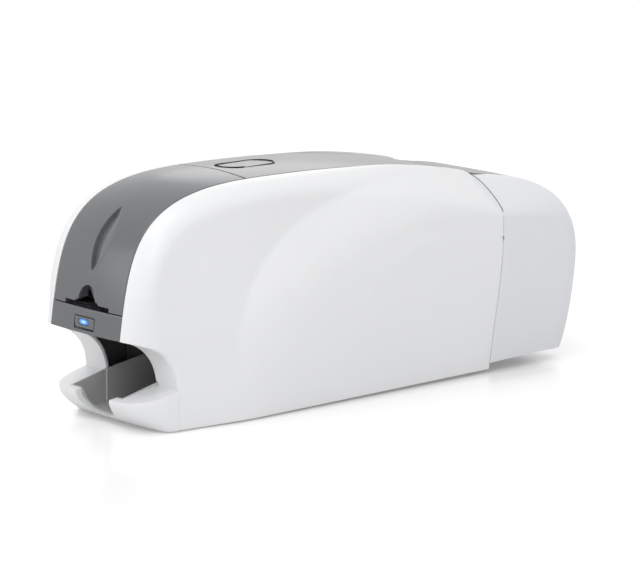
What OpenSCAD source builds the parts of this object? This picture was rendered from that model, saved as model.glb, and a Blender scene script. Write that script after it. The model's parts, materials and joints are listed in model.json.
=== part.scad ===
// Desktop ID card printer with a two-sided printing module at the rear.
// Millimetres. Built from the front (y = 0) to the rear, then centred on the row origin.

/* [Body] */
// Largest width, across the bulged sides
body_w = 173; // [168:1:180]
// Overall height on its feet, at the crown of the grey band
body_h = 195; // [190:1:204]
// Overall length with the rear module
body_l = 480; // [474:1:492]
// Width of the grey band
band_w = 90; // [88:1:94]
// Crown of the band above its edges
crown = 3; // [2.5:0.5:5]
// Wall of the moulded housings
wall = 2.5; // [2:0.1:3]
// Height of the rubber feet
foot_h = 3.5; // [2.5:0.5:5]

/* [Covers] */
// Seam between the hopper cover and the top cover
seam_y = 131; // [128:1:134]
// Joint between the main housing and the rear module
rear_y = 378; // [376:1:382]
// Underside of the front bezel
bezel_z = 77; // [75:0.5:79]
// Visible gap between neighbouring covers
seam_gap = 0.5; // [0.3:0.1:0.8]

/* [Card path] */
// Card width
card_w = 54; // [53:0.5:55]
// Card length
card_l = 85.6; // [85:0.2:86.4]
// Height of the card path
path_z = 98; // [97.5:0.1:98.5]
// Radius of the driven rollers
roller_r = 7; // [6.5:0.1:7.5]
// Radius of the pinch rollers
pinch_r = 5; // [4.5:0.1:5.5]
// Radius of the roller shafts
shaft_r = 3; // [2.5:0.1:3.2]
// Radial clearance of a shaft in its bore
run_fit = 0.05; // [0.02:0.01:0.08]

/* [Controls] */
// Width of the status button
button_w = 25.5; // [24:0.5:28]
// Height of the status button
button_h = 10; // [9:0.5:11]
// Half width of the release button
release_r = 14.5; // [12:0.5:15.5]
// Half length of its straight sides
release_run = 13; // [10:0.5:14]

/* [Hidden] */
half = band_w / 2;            // band edge
edge = half - seam_gap;       // cover edge
top_z = body_h - crown;       // band edge height at its highest
rear_drop = 22.5;             // fall of the band from there to the rear module
plate_x = half + 2;           // inner face of the mechanism plates
plate_t = 2;
low_w = 70;                   // half width of the housing at its foot
nose_w = 61;                  // half width at the tray
bulge_h = body_w / 2 - low_w; // how far the arch stands out
chute_w = 32.5;               // half width of the card exit
hop_y = 24;                   // front of the card stack
hop_l = card_l + 2.4;         // hopper length
hop_w = card_w / 2 + 0.6;     // hopper half width
roll_z = path_z - roller_r - 0.2;
pinch_z = path_z + 0.3 + pinch_r;
bore_r = shaft_r + run_fit;
pin_r = 2;                    // pinch axle
hop_hinge = [120, 185 + top_z - 194];
top_hinge = [rear_y - 14, 160 + top_z - 194];
rod_r = 3;                    // cover hinge rods
skin_fit = 0.3;               // play between a skin and the piece behind it
drum_y = rear_y + 50;         // flipper axis
drum_r = 46;
platen_y = 190;
supply_y = 256;
takeup_y = 143;
spool_z = 133;
rails_x = 40;                 // ribbon cassette rails
latch_y = 150;
latch_z = top_z - 17.5;
catch_dy = 7.2;               // catch pin behind the latch axis
lever = 14;                   // from the latch axis to the button's post
grip_cut = 5.5;               // open corner of the release button
gear_m = 0.8;
gear_n = 48;
pinion_n = 12;
mesh_a = gear_m * (gear_n + pinion_n) / 2;
drive_ys = [88, 126, 152, 228, 290, 350];
clean_y = drive_ys[1];
belt_y0 = drive_ys[0];
belt_y1 = drive_ys[5];
pulley_r = 8;
white = [0.88, 0.885, 0.89];
rear_white = [0.85, 0.855, 0.87];
grey = [0.42, 0.43, 0.45];
dark = [0.13, 0.13, 0.14];
steel = [0.7, 0.71, 0.73];
$fn = 48;

// ---------- curves ----------
function bez(p, t) = pow(1 - t, 3) * p[0] + 3 * pow(1 - t, 2) * t * p[1]
    + 3 * (1 - t) * t * t * p[2] + pow(t, 3) * p[3];
function dbez(p, t) = pow(1 - t, 2) * (p[1] - p[0]) + 2 * (1 - t) * t * (p[2] - p[1])
    + t * t * (p[3] - p[2]);
function unit(v) = v / max(norm(v), 1e-9);
function left_of(v) = [-v[1], v[0]];
function smooth(u) = let (c = min(1, max(0, u))) c * c * (3 - 2 * c);
function mix(a, b, t) = a * (1 - t) + b * t;

nose = [[2, bezel_z], [13.2, bezel_z + 0.66 * (top_z - bezel_z)], [21, top_z], [140, top_z]];
spine = [[140, top_z], [224, top_z], [300, top_z - 3.5], [rear_y, top_z - rear_drop]];
tail = [[rear_y, top_z - rear_drop], [rear_y + 40, top_z - 27.5], [body_l - 2, top_z - 27],
    [body_l - 2, 92]];
heel = [[body_l - 2, 92], [body_l - 2, 50], [body_l - 6, 25], [body_l - 14, 10]];
// Side view of the band edge, s = 0..1 nose, 1..2 spine, 2..3 tail, 3..4 heel
function seg(s) = s < 1 ? nose : s < 2 ? spine : s < 3 ? tail : heel;
function frac(s) = s >= 4 ? 1 : s - floor(s);
function edge_at(s) = s >= 4 ? heel[3] : bez(seg(s), frac(s));
function out_at(s) = s >= 4 ? unit(left_of(dbez(heel, 1))) : unit(left_of(dbez(seg(s), frac(s))));
function crown_at(s) = s <= 1 ? mix(2, crown, smooth(s * 1.3)) : s < 2 ? mix(crown, 2, smooth(s - 1)) : 2;
// Scooped front edge below the bezel, u = 0..1
scoop = [[2, bezel_z], [34, bezel_z - 8], [46, bezel_z - 20], [48.5, bezel_z - 46]];

// ---------- side form ----------
arch_a = [[112, 4], [80, 95], [130, 178], [268, 178]];
arch_b = [[268, 178], [320, 178], [350, 176], [rear_y + 2, 168]];
arch = concat([for (t = [0:0.125:0.99]) bez(arch_a, t)], [for (t = [0:0.25:1]) bez(arch_b, t)]);
function seg_dist(p, a, b) = let (d = b - a, t = min(1, max(0, (p - a) * d / (d * d)))) norm(p - a - d * t);
function seg_side(p, a, b) = let (d = b - a) (p[0] - a[0]) * d[1] - (p[1] - a[1]) * d[0];
function arch_in(p) = p[0] > rear_y ? 99 : let (
        ds = [for (i = [0:len(arch) - 2]) seg_dist(p, arch[i], arch[i + 1])],
        m = min(ds),
        k = search(m, ds)[0])
    seg_side(p, arch[k], arch[k + 1]) > 0 ? m : -m;
function bulge(z) = let (u = min(1, max(0, z / 125)))
    bulge_h * (0.5 * sin(90 * u) + 0.5 * u * u * (3 - 2 * u));
function rise(p) = let (
        run = mix(65, 34, smooth((p[0] - 130) / 200)),
        d = min(1, max(0, arch_in(p) / run)))
    1 - pow(1 - d, 2);
function side_w(p) = mix(nose_w, low_w, smooth((p[0] - 35) / 90)) + bulge(p[1]) * rise(p);
function turn(u, p) = u >= 1 ? 1 : pow(1 - pow(1 - max(0, u), p), 1 / p);
function soft(y) = smooth((y - 150) / (rear_y - 150));
function round_d(y) = 16 + 14 * soft(y);
function round_p(y) = 2 - 0.7 * soft(y);

// ---------- skins ----------
function clampi(i, n) = min(n - 1, max(0, i));
function normal_at(g, i, j) = unit(cross(
    g[clampi(i + 1, len(g))][j] - g[clampi(i - 1, len(g))][j],
    g[i][clampi(j + 1, len(g[0]))] - g[i][clampi(j - 1, len(g[0]))]));
function inner_of(g, t) = [for (i = [0:len(g) - 1]) [for (j = [0:len(g[0]) - 1])
    g[i][j] - t * normal_at(g, i, j)]];
function flat_of(g) = [for (r = g) each r];

// Closed solid between two grids of the same size
module sheet(outer, inner) {
    n = len(outer);
    m = len(outer[0]);
    o = n * m;
    skin = [for (i = [0:n - 2]) for (j = [0:m - 2])
        each [[i * m + j, i * m + j + 1, (i + 1) * m + j],
            [i * m + j + 1, (i + 1) * m + j + 1, (i + 1) * m + j]]];
    back = [for (f = skin) [f[0] + o, f[2] + o, f[1] + o]];
    ring = concat(
        [for (j = [0:m - 2]) [j, j + 1]],
        [for (i = [0:n - 2]) [i * m + m - 1, (i + 1) * m + m - 1]],
        [for (j = [m - 1:-1:1]) [(n - 1) * m + j, (n - 1) * m + j - 1]],
        [for (i = [n - 1:-1:1]) [i * m, (i - 1) * m]]);
    rim = [for (e = ring) each [[e[1], e[0], e[0] + o], [e[1], e[0] + o, e[1] + o]]];
    polyhedron(points = concat(flat_of(outer), flat_of(inner)), faces = concat(skin, back, rim));
}

// Side panel grid: rows from the band edge down, columns from the nose to the rear joint
side_cols = 30;
turn_rows = 6;
flat_rows = 7;
function side_s(i) = 2 * i / side_cols;
function foot_at(i) = let (u = i / side_cols)
    u < 0.24 ? bez(scoop, 0.5 + 0.5 * u / 0.24)
    : u < 0.34 ? mix([48.5, bezel_z - 46], [48.5, foot_h], (u - 0.24) / 0.1)
    : mix([48.5, foot_h], [rear_y, foot_h], (u - 0.34) / 0.66);
function side_in(i) = i == 0 ? unit(bez(scoop, 0.35) - nose[0])
    : i == side_cols ? [0, -1] : -out_at(side_s(i));
function side_pt(i, k) = let (
        e = edge_at(side_s(i)),
        dr = i == 0 ? norm(bez(scoop, 0.35) - nose[0]) : round_d(e[0]),
        q = e + side_in(i) * dr,
        u = 1 - cos(90 * k / turn_rows),
        p = k <= turn_rows ? e + side_in(i) * dr * u : mix(q, foot_at(i), (k - turn_rows) / flat_rows),
        w = side_w(p),
        x = k <= turn_rows ? half + (w - half) * turn(u, round_p(e[0])) : w)
    [x, p[0], p[1]];
side_grid = [for (k = [0:turn_rows + flat_rows]) [for (i = [0:side_cols]) side_pt(i, k)]];
function hold(p) = [max(half, p[0]), min(rear_y, p[1]), max(foot_h, p[2])];
side_back = [for (r = inner_of(side_grid, wall)) [for (p = r) hold(p)]];

// Strip of the band between two places, with its crown
function band_grid(s0, s1, n, w, flat) = [for (i = [0:n]) let (
        s = mix(s0, s1, i / n),
        e = edge_at(s),
        o = flat ? [-1, 0] : out_at(s))
    [for (k = [4:-1:-4]) let (x = w * k / 4, c = crown_at(s) * (1 - pow(x / half, 2)))
        [x, e[0] + o[0] * c, e[1] + o[1] * c]]];
// Place on the curve at a length y or a height z, by halving
function s_of_y(y, a, b, n = 22) = n == 0 ? (a + b) / 2
    : edge_at((a + b) / 2)[0] < y ? s_of_y(y, (a + b) / 2, b, n - 1) : s_of_y(y, a, (a + b) / 2, n - 1);
function s_of_z(z, a, b, n = 22) = n == 0 ? (a + b) / 2
    : edge_at((a + b) / 2)[1] < z ? s_of_z(z, (a + b) / 2, b, n - 1) : s_of_z(z, a, (a + b) / 2, n - 1);
slot_z = path_z - 1.4;        // seam over the bezel
slot_h = 4.2;                 // height of the card slot

// ---------- small helpers ----------
module at_front() { translate([0, -body_l / 2, 0]) children(); }
module across(y, z, x0, x1) { translate([x0, y, z]) rotate([0, 90, 0]) linear_extrude(x1 - x0) children(); }
module rod(y, z, x0, x1, r) { translate([x0, y, z]) rotate([0, 90, 0]) cylinder(r = r, h = x1 - x0); }
// Outline in the side view, given from x0 to x1
module slab(x0, x1) { translate([x0, 0, 0]) rotate([90, 0, 90]) linear_extrude(x1 - x0) children(); }
module box(a, b) { translate(a) cube(b - a); }
module both() { children(); mirror([1, 0, 0]) children(); }

// ---------- housing ----------
module side_panel() {
    color(white) sheet(side_grid, side_back);
}
post_r = 3;
post_play = 0.9;              // for the slope of the panel across a post
boss_at = [[80, 62], [240, 40], [340, 60], [200, 120], [340, 120], [90, 130]];
module side_panel_right() { side_panel(); }
module side_panel_left() { mirror([1, 0, 0]) side_panel(); }

base_plan = [[52, 50], [52, 58], [66, 110], [66, rear_y - 1.5], [-66, rear_y - 1.5], [-66, 110],
    [-52, 58], [-52, 50]];
module base_pan() {
    color(dark) difference() {
        translate([0, 0, foot_h]) linear_extrude(2.5) polygon(base_plan);
        for (y = [120:9:190]) box([-30, y, foot_h - 1], [30, y + 4, foot_h + 4]);
        for (y = [240:9:310]) box([-30, y, foot_h - 1], [30, y + 4, foot_h + 4]);
    }
}
module rubber_feet() {
    color(dark) for (x = [-44, 44]) for (y = [66, rear_y - 24]) translate([x, y, 0]) {
        cylinder(r1 = 7, r2 = 8, h = foot_h);
    }
}

// ---------- front ----------
bezel_skin = band_grid(0, s_of_z(slot_z, 0, 1), 5, half - 0.05, true);
module front_bezel() {
    color(grey) difference() {
        sheet(bezel_skin, [for (r = bezel_skin) [for (p = r) p + [0, wall, 0]]]);
        box([-button_w / 2 - 0.4, -2, bezel_z + 3 - 0.4],
            [button_w / 2 + 0.4, 9, bezel_z + 3 + button_h + 0.4]);
    }
}
module led_button() {
    y0 = edge_at(s_of_z(bezel_z + 8, 0, 1))[0] - 2;
    color(grey) difference() {
        box([-button_w / 2, y0, bezel_z + 3], [button_w / 2, y0 + 9, bezel_z + 3 + button_h]);
        box([-7.2, y0 - 1, bezel_z + 6.3], [5.8, y0 + 6, bezel_z + 11.3]);
        box([-button_w / 2 + 1.5, y0 + 6, bezel_z + 4.5],
            [button_w / 2 - 1.5, y0 + 10, bezel_z + 1.5 + button_h]);
    }
}
module led_window() {
    y0 = edge_at(s_of_z(bezel_z + 8, 0, 1))[0] - 2;
    color([0.25, 0.55, 0.95]) box([-7.2, y0 + 0.1, bezel_z + 6.3], [5.8, y0 + 6, bezel_z + 11.3]);
}
function scoop_line(d) = [for (t = [0:0.125:1]) bez(scoop, t)
    + d * unit([-(dbez(scoop, t)[1]), dbez(scoop, t)[0]])];
module front_frame() {
    in = scoop_line(wall);
    color(white) difference() {
        slab(-nose_w + 3.2, nose_w - 3.2) polygon(concat(scoop_line(0), [[48.5, foot_h + 3],
            [48.5 + wall, foot_h + 3]],
            [for (i = [len(in) - 1:-1:1]) in[i]], [[14, bezel_z + 1.5], [7, bezel_z]]));
        box([-chute_w, -5, foot_h], [chute_w, 70, bezel_z + 9]);
        box([-chute_w - 1.65, -5, foot_h], [chute_w + 1.65, 70, 44]);
        both() box([half + 0.3, -1, bezel_z - 12], [nose_w, 22, bezel_z + 9]);
    }
}

// ---------- output tray ----------
tray_y = 48.3;
rim_z = 33;
module tray_form() {
    hull() {
        translate([0, 0, 26.5]) linear_extrude(0.5) polygon([for (s = [1, -1]) each
            [[s * 26, 6], [s * 41, 7.5], [s * 50, 13], [s * 57, 22], [s * nose_w, 35],
                [s * nose_w, tray_y]]]);
        translate([0, 0, 8]) linear_extrude(0.5) polygon([for (s = [1, -1]) each
            [[s * 30, 19], [s * 44, 21], [s * 54, 28], [s * 61, 40], [s * 62, tray_y]]]);
        translate([0, 0, foot_h]) linear_extrude(0.5) polygon([for (s = [1, -1]) each
            [[s * 30, 27], [s * 50, 31], [s * 60, 42], [s * 61, tray_y]]]);
        slab(-nose_w, nose_w) polygon([[34, 27], [tray_y, 27], [tray_y, rim_z]]);
    }
}
module output_tray() {
    color(white) difference() {
        tray_form();
        slab(-chute_w - 1.7, chute_w + 1.7) polygon([[12, 60], [12, 26], [16, 17], [25.5, foot_h + 3.8],
            [60, foot_h + 3.8], [60, 60]]);
        box([-nose_w + 6, 30, foot_h + 2], [-chute_w - 4.5, 60, 24]);
        box([chute_w + 4.5, 30, foot_h + 2], [nose_w - 6, 60, 24]);
        notch_cut();
    }
}
// Finger notch through the front wall of the tray
module notch_cut() {
    side = [[26, 40], [25.2, 29], [22.5, 26], [19, 23.5], [10, 12], [6, 9.4], [3, foot_h + 5.4]];
    translate([0, 30, 0]) rotate([90, 0, 0]) linear_extrude(40)
        polygon(concat(side, [for (i = [len(side) - 1:-1:0]) [-side[i][0], side[i][1]]]));
}
module tray_liner() {
    w = chute_w + 1.6;
    color([0.45, 0.46, 0.48]) difference() {
        slab(-w, w) polygon([[12.1, 27.4], [12.1, 26], [16.1, 17.1], [25.6, foot_h + 3.9],
            [100, foot_h + 3.9], [100, 43], [88, 42], [47.9, 35.6]]);
        slab(-w + 1.6, w - 1.6) polygon([[13.7, 60], [13.7, 26.5], [17.5, 18], [26.4, foot_h + 5.4],
            [101, foot_h + 5.4],
            [101, 60]]);
        notch_cut();
    }
}
module exit_chute() {
    top = path_z - 10;
    color(dark) slab(-30, 30) polygon([[115, top], [117, top], [110, 74], [98, 64], [97, 65.6],
        [108.6, 75.4]]);
    color(dark) both() box([30, 96, 62], [plate_x - 0.05, 121, 66]);
    color(dark) box([-plate_x + 0.05, 100.4, foot_h + 2.7], [plate_x - 0.05, 102.4, 64]);
}

// ---------- hopper ----------
module hopper_floor() {
    color(dark) difference() {
        box([-plate_x + 0.05, 14, slot_z], [plate_x - 0.05, 116, path_z]);
        box([-29, drive_ys[0] - 9, slot_z - 1], [29, drive_ys[0] + 9, path_z + 1]);
        translate([0, 14, slot_z - 1]) cylinder(r = 9, h = 5);
    }
}
module hopper_walls() {
    w = hop_w + 2;
    y1 = hop_y + hop_l;
    color(dark) difference() {
        slab(-w, w) polygon([[hop_y - 2, path_z], [y1 + 2, path_z], [y1 + 2, 168], [60, 160], [40, 148],
            [hop_y + 4, 122], [hop_y - 2, 112]]);
        box([-hop_w, hop_y, path_z - 1], [hop_w, y1, 200]);
        box([-hop_w, hop_y - 3, path_z - 1], [hop_w, hop_y + 1, path_z + 2.6]);
        box([-hop_w, y1 - 1, path_z - 1], [hop_w, y1 + 3, path_z + 1.2]);
        box([-13, hop_y - 3, path_z - 1], [13, hop_y + 1, 130]);
        box([-4, y1 - 1, path_z + 8], [4, y1 + 3, 160]);
    }
}
module card_weight() {
    color(grey) {
        difference() {
            box([-hop_w + 0.6, hop_y + 2, path_z + 0.3], [hop_w - 0.6, hop_y + hop_l - 1, path_z + 4.3]);
            for (x = [-16, 0, 16]) box([x - 6, hop_y + 10, path_z + 2.3], [x + 6, hop_y + 74, path_z + 5]);
        }
        box([-3.5, hop_y + hop_l - 1.2, path_z + 9], [3.5, hop_y + hop_l + 5, path_z + 14]);
        box([-3.5, hop_y + hop_l - 6, path_z + 4], [3.5, hop_y + hop_l - 1, path_z + 14]);
    }
}

// ---------- covers ----------
// Barrel round a hinge that keeps the seam open while the cover turns
module barrel(h, s, y) {
    pts = [for (k = [-4:4]) let (x = (half + 6) * k / 4,
        up = edge_at(s)[1] + crown_at(s) * (1 - pow(min(1, abs(x) / half), 2)) - h[1])
        [norm([up, y - h[0]]), x]];
    translate([0, h[0], h[1]]) rotate([0, 90, 0]) rotate_extrude($fn = 64)
        polygon(concat([[0, pts[0][1]]], pts, [[0, pts[8][1]]]));
}
s_seam = s_of_y(seam_y, 0, 1);
hop_skin = band_grid(s_of_z(slot_z + seam_gap, 0, 1), s_of_y(seam_y - seam_gap / 2, 0, 1), 18, edge, false);
module hopper_cover() {
    color(grey) difference() {
        sheet(hop_skin, inner_of(hop_skin, wall));
        slot_cut();
        crescent_cut();
    }
}
// Card slot, its finger step and the thumb arch
module slot_cut() {
    translate([0, 30, 0]) rotate([90, 0, 0]) linear_extrude(40) union() {
        polygon([[-28.2, slot_z - 4], [28.2, slot_z - 4], [28.2, slot_z + slot_h], [15, slot_z + slot_h],
            [13, slot_z + 6.4],
            [-13, slot_z + 6.4], [-15, slot_z + slot_h], [-28.2, slot_z + slot_h]]);
        translate([0, slot_z + 6.3]) intersection() {
            translate([0, -2]) circle(r = 14);
            translate([-11, 0]) square([22, 20]);
        }
    }
}
// Crescent finger recess: a lens between a flat arc and a fuller one
module crescent_cut() {
    h = 24;
    function arc_r(w) = (h * h + w * w) / (2 * w);
    left = arc_r(5);
    right = arc_r(12.5);
    translate([0.5, 80, 149]) rotate([90, 0, 0]) linear_extrude(90) intersection() {
        translate([left - 5, 0]) circle(r = left, $fn = 120);
        translate([12.5 - right, 0]) circle(r = right, $fn = 120);
    }
}
module cover_inserts() {
    color(dark) slot_guide();
    color(dark) grip_pocket();
}
module grip_pocket() {
    g = inner_of(band_grid(s_of_z(122, 0, 1), s_of_z(181, 0, 1), 8, 18, false), wall + skin_fit);
    sheet(g, inner_of(g, 5));
}
module slot_guide() {
    g = inner_of(band_grid(s_of_z(path_z + 1.5, 0, 1), s_of_z(118, 0, 1), 8, 32, false), wall + skin_fit);
    difference() {
        sheet(g, inner_of(g, 7));
        box([-28.2, 0, slot_z], [28.2, 30, slot_z + slot_h]);
        box([-13, 0, slot_z], [13, 30, slot_z + 6.4]);
        translate([0, 6, slot_z + 6.3]) rotate([90, 0, 0]) cylinder(r = 12, h = 16, center = true);
    }
}
// Side view of a rib under the skin, seated at the place x across the band
module rib_line(s0, s1, x, deep) {
    n = 14;
    ss = [for (i = [0:n]) mix(s0, s1, i / n)];
    function seat(s) = wall + 0.06 - crown_at(s) * (1 - pow(x / half, 2));
    polygon(concat([for (s = ss) edge_at(s) - out_at(s) * seat(s)],
        [for (i = [n:-1:0]) edge_at(ss[i]) - out_at(ss[i]) * deep]));
}
module hopper_frame() {
    s0 = s_of_z(104, 0, 1);
    s1 = s_of_y(118, 0, 1);
    color(dark) difference() {
        union() {
            both() slab(38, 41) rib_line(s0, s1, 41, wall + 6.5);
            both() rod(hop_hinge[0], hop_hinge[1], 36, 44, 5.4);
            slab(-38.5, 38.5) rib_line(s_of_z(119.2, 0, 1), s_of_z(121.4, 0, 1), 41, wall + 5);
            slab(-38.5, 38.5) rib_line(s1 - 0.06, s1 - 0.04, 41, wall + 5);
        }
        rod(hop_hinge[0], hop_hinge[1], -60, 60, rod_r + run_fit);
    }
}
top_skin = band_grid(s_of_y(seam_y + seam_gap / 2, 0, 1), s_of_y(rear_y - seam_gap, 1, 2),
    18, edge, false);
rel_y = seam_y + 36;
module top_cover() {
    color(grey) difference() {
        sheet(top_skin, inner_of(top_skin, wall));
        barrel(hop_hinge, s_seam, seam_y + seam_gap);
        release_well();
    }
}
// Long hole or block with round ends, along the machine
module stadium(r, l, h) {
    for (y = [-l, l]) translate([0, y, 0]) cylinder(r = r, h = h);
    translate([-r, -l, 0]) cube([2 * r, 2 * l, h]);
}
module release_well() {
    translate([0, rel_y, top_z - 20]) stadium(release_r + 0.4, release_run, 40);
}
head_rib = wall + 12;            // depth of the rib that carries the print head
module top_frame() {
    s0 = s_of_y(latch_y - 2, 1, 2);
    s1 = s_of_y(rear_y - 20, 1, 2);
    color(dark) difference() {
        union() {
            both() slab(36, 39) rib_line(s0, s1, 39, wall + 9);
            both() slab(36, 39) polygon([[rear_y - 40, top_hinge[1] + 4], [rear_y - 40, top_hinge[1] - 4],
                [top_hinge[0], top_hinge[1] - 5.5], [top_hinge[0], top_hinge[1] + 5.5]]);
            both() rod(top_hinge[0], top_hinge[1], 33, 44, 5.8);
            slab(-36.5, 36.5) rib_line(s_of_y(214, 1, 2), s_of_y(218, 1, 2), 39, head_rib);
            slab(-36.5, 36.5) rib_line(s_of_y(320, 1, 2), s_of_y(323, 1, 2), 39, wall + 8);
            both() slab(36, 39) polygon([[latch_y - 6, latch_z - 6], [latch_y + 10, latch_z - 6],
                [latch_y + 10, latch_z + 9],
                [latch_y - 6, latch_z + 9]]);
            release_sleeve();
        }
        rod(top_hinge[0], top_hinge[1], -60, 60, rod_r + run_fit);
        rod(latch_y, latch_z, -60, 60, pin_r + run_fit);
        barrel(hop_hinge, s_seam, seam_y + seam_gap);
    }
}
module release_sleeve() {
    translate([0, rel_y, top_z - 9]) difference() {
        union() {
            stadium(release_r + 3, release_run, 6.2);
            for (x = [-1, 1]) translate([x * 27 - 10.5, -4, 0]) cube([21, 8, 5]);
        }
        translate([0, 0, -1]) stadium(release_r + 0.3, release_run, 20);
    }
}
// Button with a dished top, cut back at one front corner so that a finger finds it
module release_button() {
    z0 = top_z - 11;
    color(grey) translate([0, rel_y, 0]) difference() {
        union() {
            intersection() {
                translate([0, 0, z0]) stadium(release_r, release_run, top_z + crown - 0.6 - z0);
                translate([-grip_cut, grip_cut, z0]) stadium(release_r, release_run, 20);
            }
            translate([0, 0, z0 - 1.4]) stadium(release_r + 1.6, release_run, 1.4);
        }
        translate([0, -4, top_z + crown + 66]) sphere(r = 70, $fn = 160);
        translate([-grip_cut, grip_cut, z0 - 4]) stadium(release_r - 2 - grip_cut, release_run - grip_cut, 9);
    }
    color(grey) translate([0, latch_y + lever, latch_z + 1.6]) cylinder(r = 2, h = top_z - latch_z - 7);
}
// Hook in the side view, nose to the rear
hook = [[-3.5, 3.5], [3.5, 3.5], [3.5, -17.8], [catch_dy - 2.8, -17.8], [catch_dy - 3, -20.5],
    [catch_dy - 5, -22], [-1.5, -22], [-3.5, -16]];
module latch_bar() {
    color(steel) {
        rod(latch_y, latch_z, -43, 43, pin_r);
        translate([0, latch_y, latch_z]) {
            both() slab(40, 43) polygon(hook);
            slab(-4, 4) polygon([[-1.5, -2], [lever + 3, -2.4], [lever + 3, 0.6],
                [0, 1.6]]);
        }
    }
}
module cross_rods() {
    color(steel) {
        both() rod(latch_y + catch_dy, latch_z - 15, 39.5, plate_x + plate_t, 2.5);
        for (p = [hop_hinge, top_hinge]) rod(p[0], p[1], -plate_x - plate_t, plate_x + plate_t, rod_r);
        for (p = tie_at) rod(p[0], p[1], -plate_x, plate_x, 3);
    }
}
tie_at = [[70, 70], [215, 70], [360, 30], [300, 150], [222, 12]];

// ---------- mechanism frame ----------
plate_line = [[53, foot_h + 2.5], [53, 62], [40, 70], [14, 80], [10, 84], [10, slot_z], [24, 136],
    [50, 164], [80, top_z - 15], [hop_hinge[0] - 8, hop_hinge[1] + 5],
    [hop_hinge[0] + 12, hop_hinge[1] + 5], [200, top_z - 8], [300, top_z - 14], [332, top_z - 20],
    [rear_y - 2, top_hinge[1] + 5.6], [rear_y - 2, foot_h + 2.5]];
module mech_plate() {
    color(steel) difference() {
        slab(plate_x, plate_x + plate_t) polygon(plate_line);
        for (y = drive_ys) rod(y, roll_z, plate_x - 1, plate_x + 4, bore_r);
        rod(platen_y, roll_z, plate_x - 1, plate_x + 4, bore_r);
        for (i = [2:5]) rod(drive_ys[i], pinch_z, plate_x - 1, plate_x + 4, pin_r + run_fit);
        rod(hop_hinge[0], hop_hinge[1], plate_x - 1, plate_x + 4, rod_r);
        rod(top_hinge[0], top_hinge[1], plate_x - 1, plate_x + 4, rod_r);
        rod(latch_y + catch_dy, latch_z - 15, plate_x - 1, plate_x + 4, 2.5);
        rod(platen_y, roll_z - mesh_a, plate_x - 1, plate_x + 4, 4);
        slab(plate_x - 1, plate_x + 4) polygon([[270, 20], [350, 20], [350, 70], [290, 70]]);
        slab(plate_x - 1, plate_x + 4) polygon([[80, 24], [130, 24], [130, 56], [80, 56]]);
    }
}
module mech_plates() {
    both() {
        mech_plate();
        color(steel) for (p = boss_at) rod(p[0], p[1], plate_x + plate_t - 0.5,
            side_w(p) - wall - post_play, post_r);
    }
}
module lower_guide() {
    color(dark) difference() {
        box([-plate_x + 0.05, 117, path_z - 2], [plate_x - 0.05, rear_y - 3, path_z - 0.6]);
        for (i = [1:5]) box([-29, drive_ys[i] - 8.6, path_z - 4], [29, drive_ys[i] + 8.6, path_z + 1]);
        box([-31, platen_y - 8.6, path_z - 4], [31, platen_y + 8.6, path_z + 1]);
    }
}

// ---------- rollers and drive ----------
module pulley(y, x) {
    rod(y, roll_z, x, x + 6, pulley_r);
    rod(y, roll_z, x - 0.8, x, pulley_r + 1.6);
    rod(y, roll_z, x + 6, x + 6.8, pulley_r + 1.6);
}
module drive_roller(y, w) {
    color(dark) rod(y, roll_z, -w, w, roller_r);
    color(steel) {
        rod(y, roll_z, -plate_x - 10.8, plate_x + 3.6, shaft_r);
        pulley(y, -plate_x - 10);
    }
}
module pick_roller() { drive_roller(drive_ys[0], 14); }
module clean_roller() { drive_roller(drive_ys[1], 27); }
module feed_roller_a() { drive_roller(drive_ys[2], 27); }
module feed_roller_b() { drive_roller(drive_ys[3], 27); }
module feed_roller_c() { drive_roller(drive_ys[4], 27); }
module feed_roller_d() { drive_roller(drive_ys[5], 27); }
module pinch(y) {
    color(dark) difference() {
        rod(y, pinch_z, -27, 27, pinch_r);
        rod(y, pinch_z, -2, 2, pinch_r + 1);
    }
    color(steel) rod(y, pinch_z, -plate_x - plate_t, plate_x + plate_t, pin_r);
}
module pinch_a() { pinch(drive_ys[2]); }
module pinch_b() { pinch(drive_ys[3]); }
module pinch_c() { pinch(drive_ys[4]); }
module pinch_d() { pinch(drive_ys[5]); }
module platen_rubber() {
    color(dark) difference() {
        rod(platen_y, roll_z, -29, 29, roller_r);
        rod(platen_y, roll_z, -30, 30, shaft_r);
    }
}
// Spur gear across the machine, teeth by pattern
module gear(n, w, hole) {
    r = gear_m * n / 2;
    linear_extrude(w) difference() {
        union() {
            circle(r = r - 1.1 * gear_m, $fn = 72);
            for (i = [0:n - 1]) rotate(i * 360 / n) polygon([[r - 1.4 * gear_m, -0.72 * gear_m],
                [r, -0.42 * gear_m * 1.5], [r + 0.85 * gear_m, -0.3 * gear_m],
                [r + 0.85 * gear_m, 0.3 * gear_m], [r, 0.42 * gear_m * 1.5],
                [r - 1.4 * gear_m, 0.72 * gear_m]]);
        }
        circle(r = hole);
    }
}
module platen_shaft() {
    color(steel) {
        rod(platen_y, roll_z, -plate_x - 10.8, plate_x + 3.6, shaft_r);
        pulley(platen_y, -plate_x - 10);
        translate([plate_x + 2.6, platen_y, roll_z]) rotate([0, 90, 0]) gear(gear_n, 4, 0.01);
    }
}
module motor_pinion() {
    color([0.8, 0.66, 0.3]) translate([plate_x + 2.6, platen_y, roll_z - mesh_a]) rotate([0, 90, 0])
        rotate(180 / pinion_n) gear(pinion_n, 4, 1.5);
    color(steel) rod(platen_y, roll_z - mesh_a, plate_x - 3, plate_x + 8, 1.5);
}
module drive_motor() {
    z = roll_z - mesh_a;
    color(dark) difference() {
        box([plate_x - 32.1, platen_y - 16, z - 16], [plate_x - 0.05, platen_y + 16, z + 16]);
        rod(platen_y, z, plate_x - 6, plate_x + 2, 1.5 + run_fit);
    }
}
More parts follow.
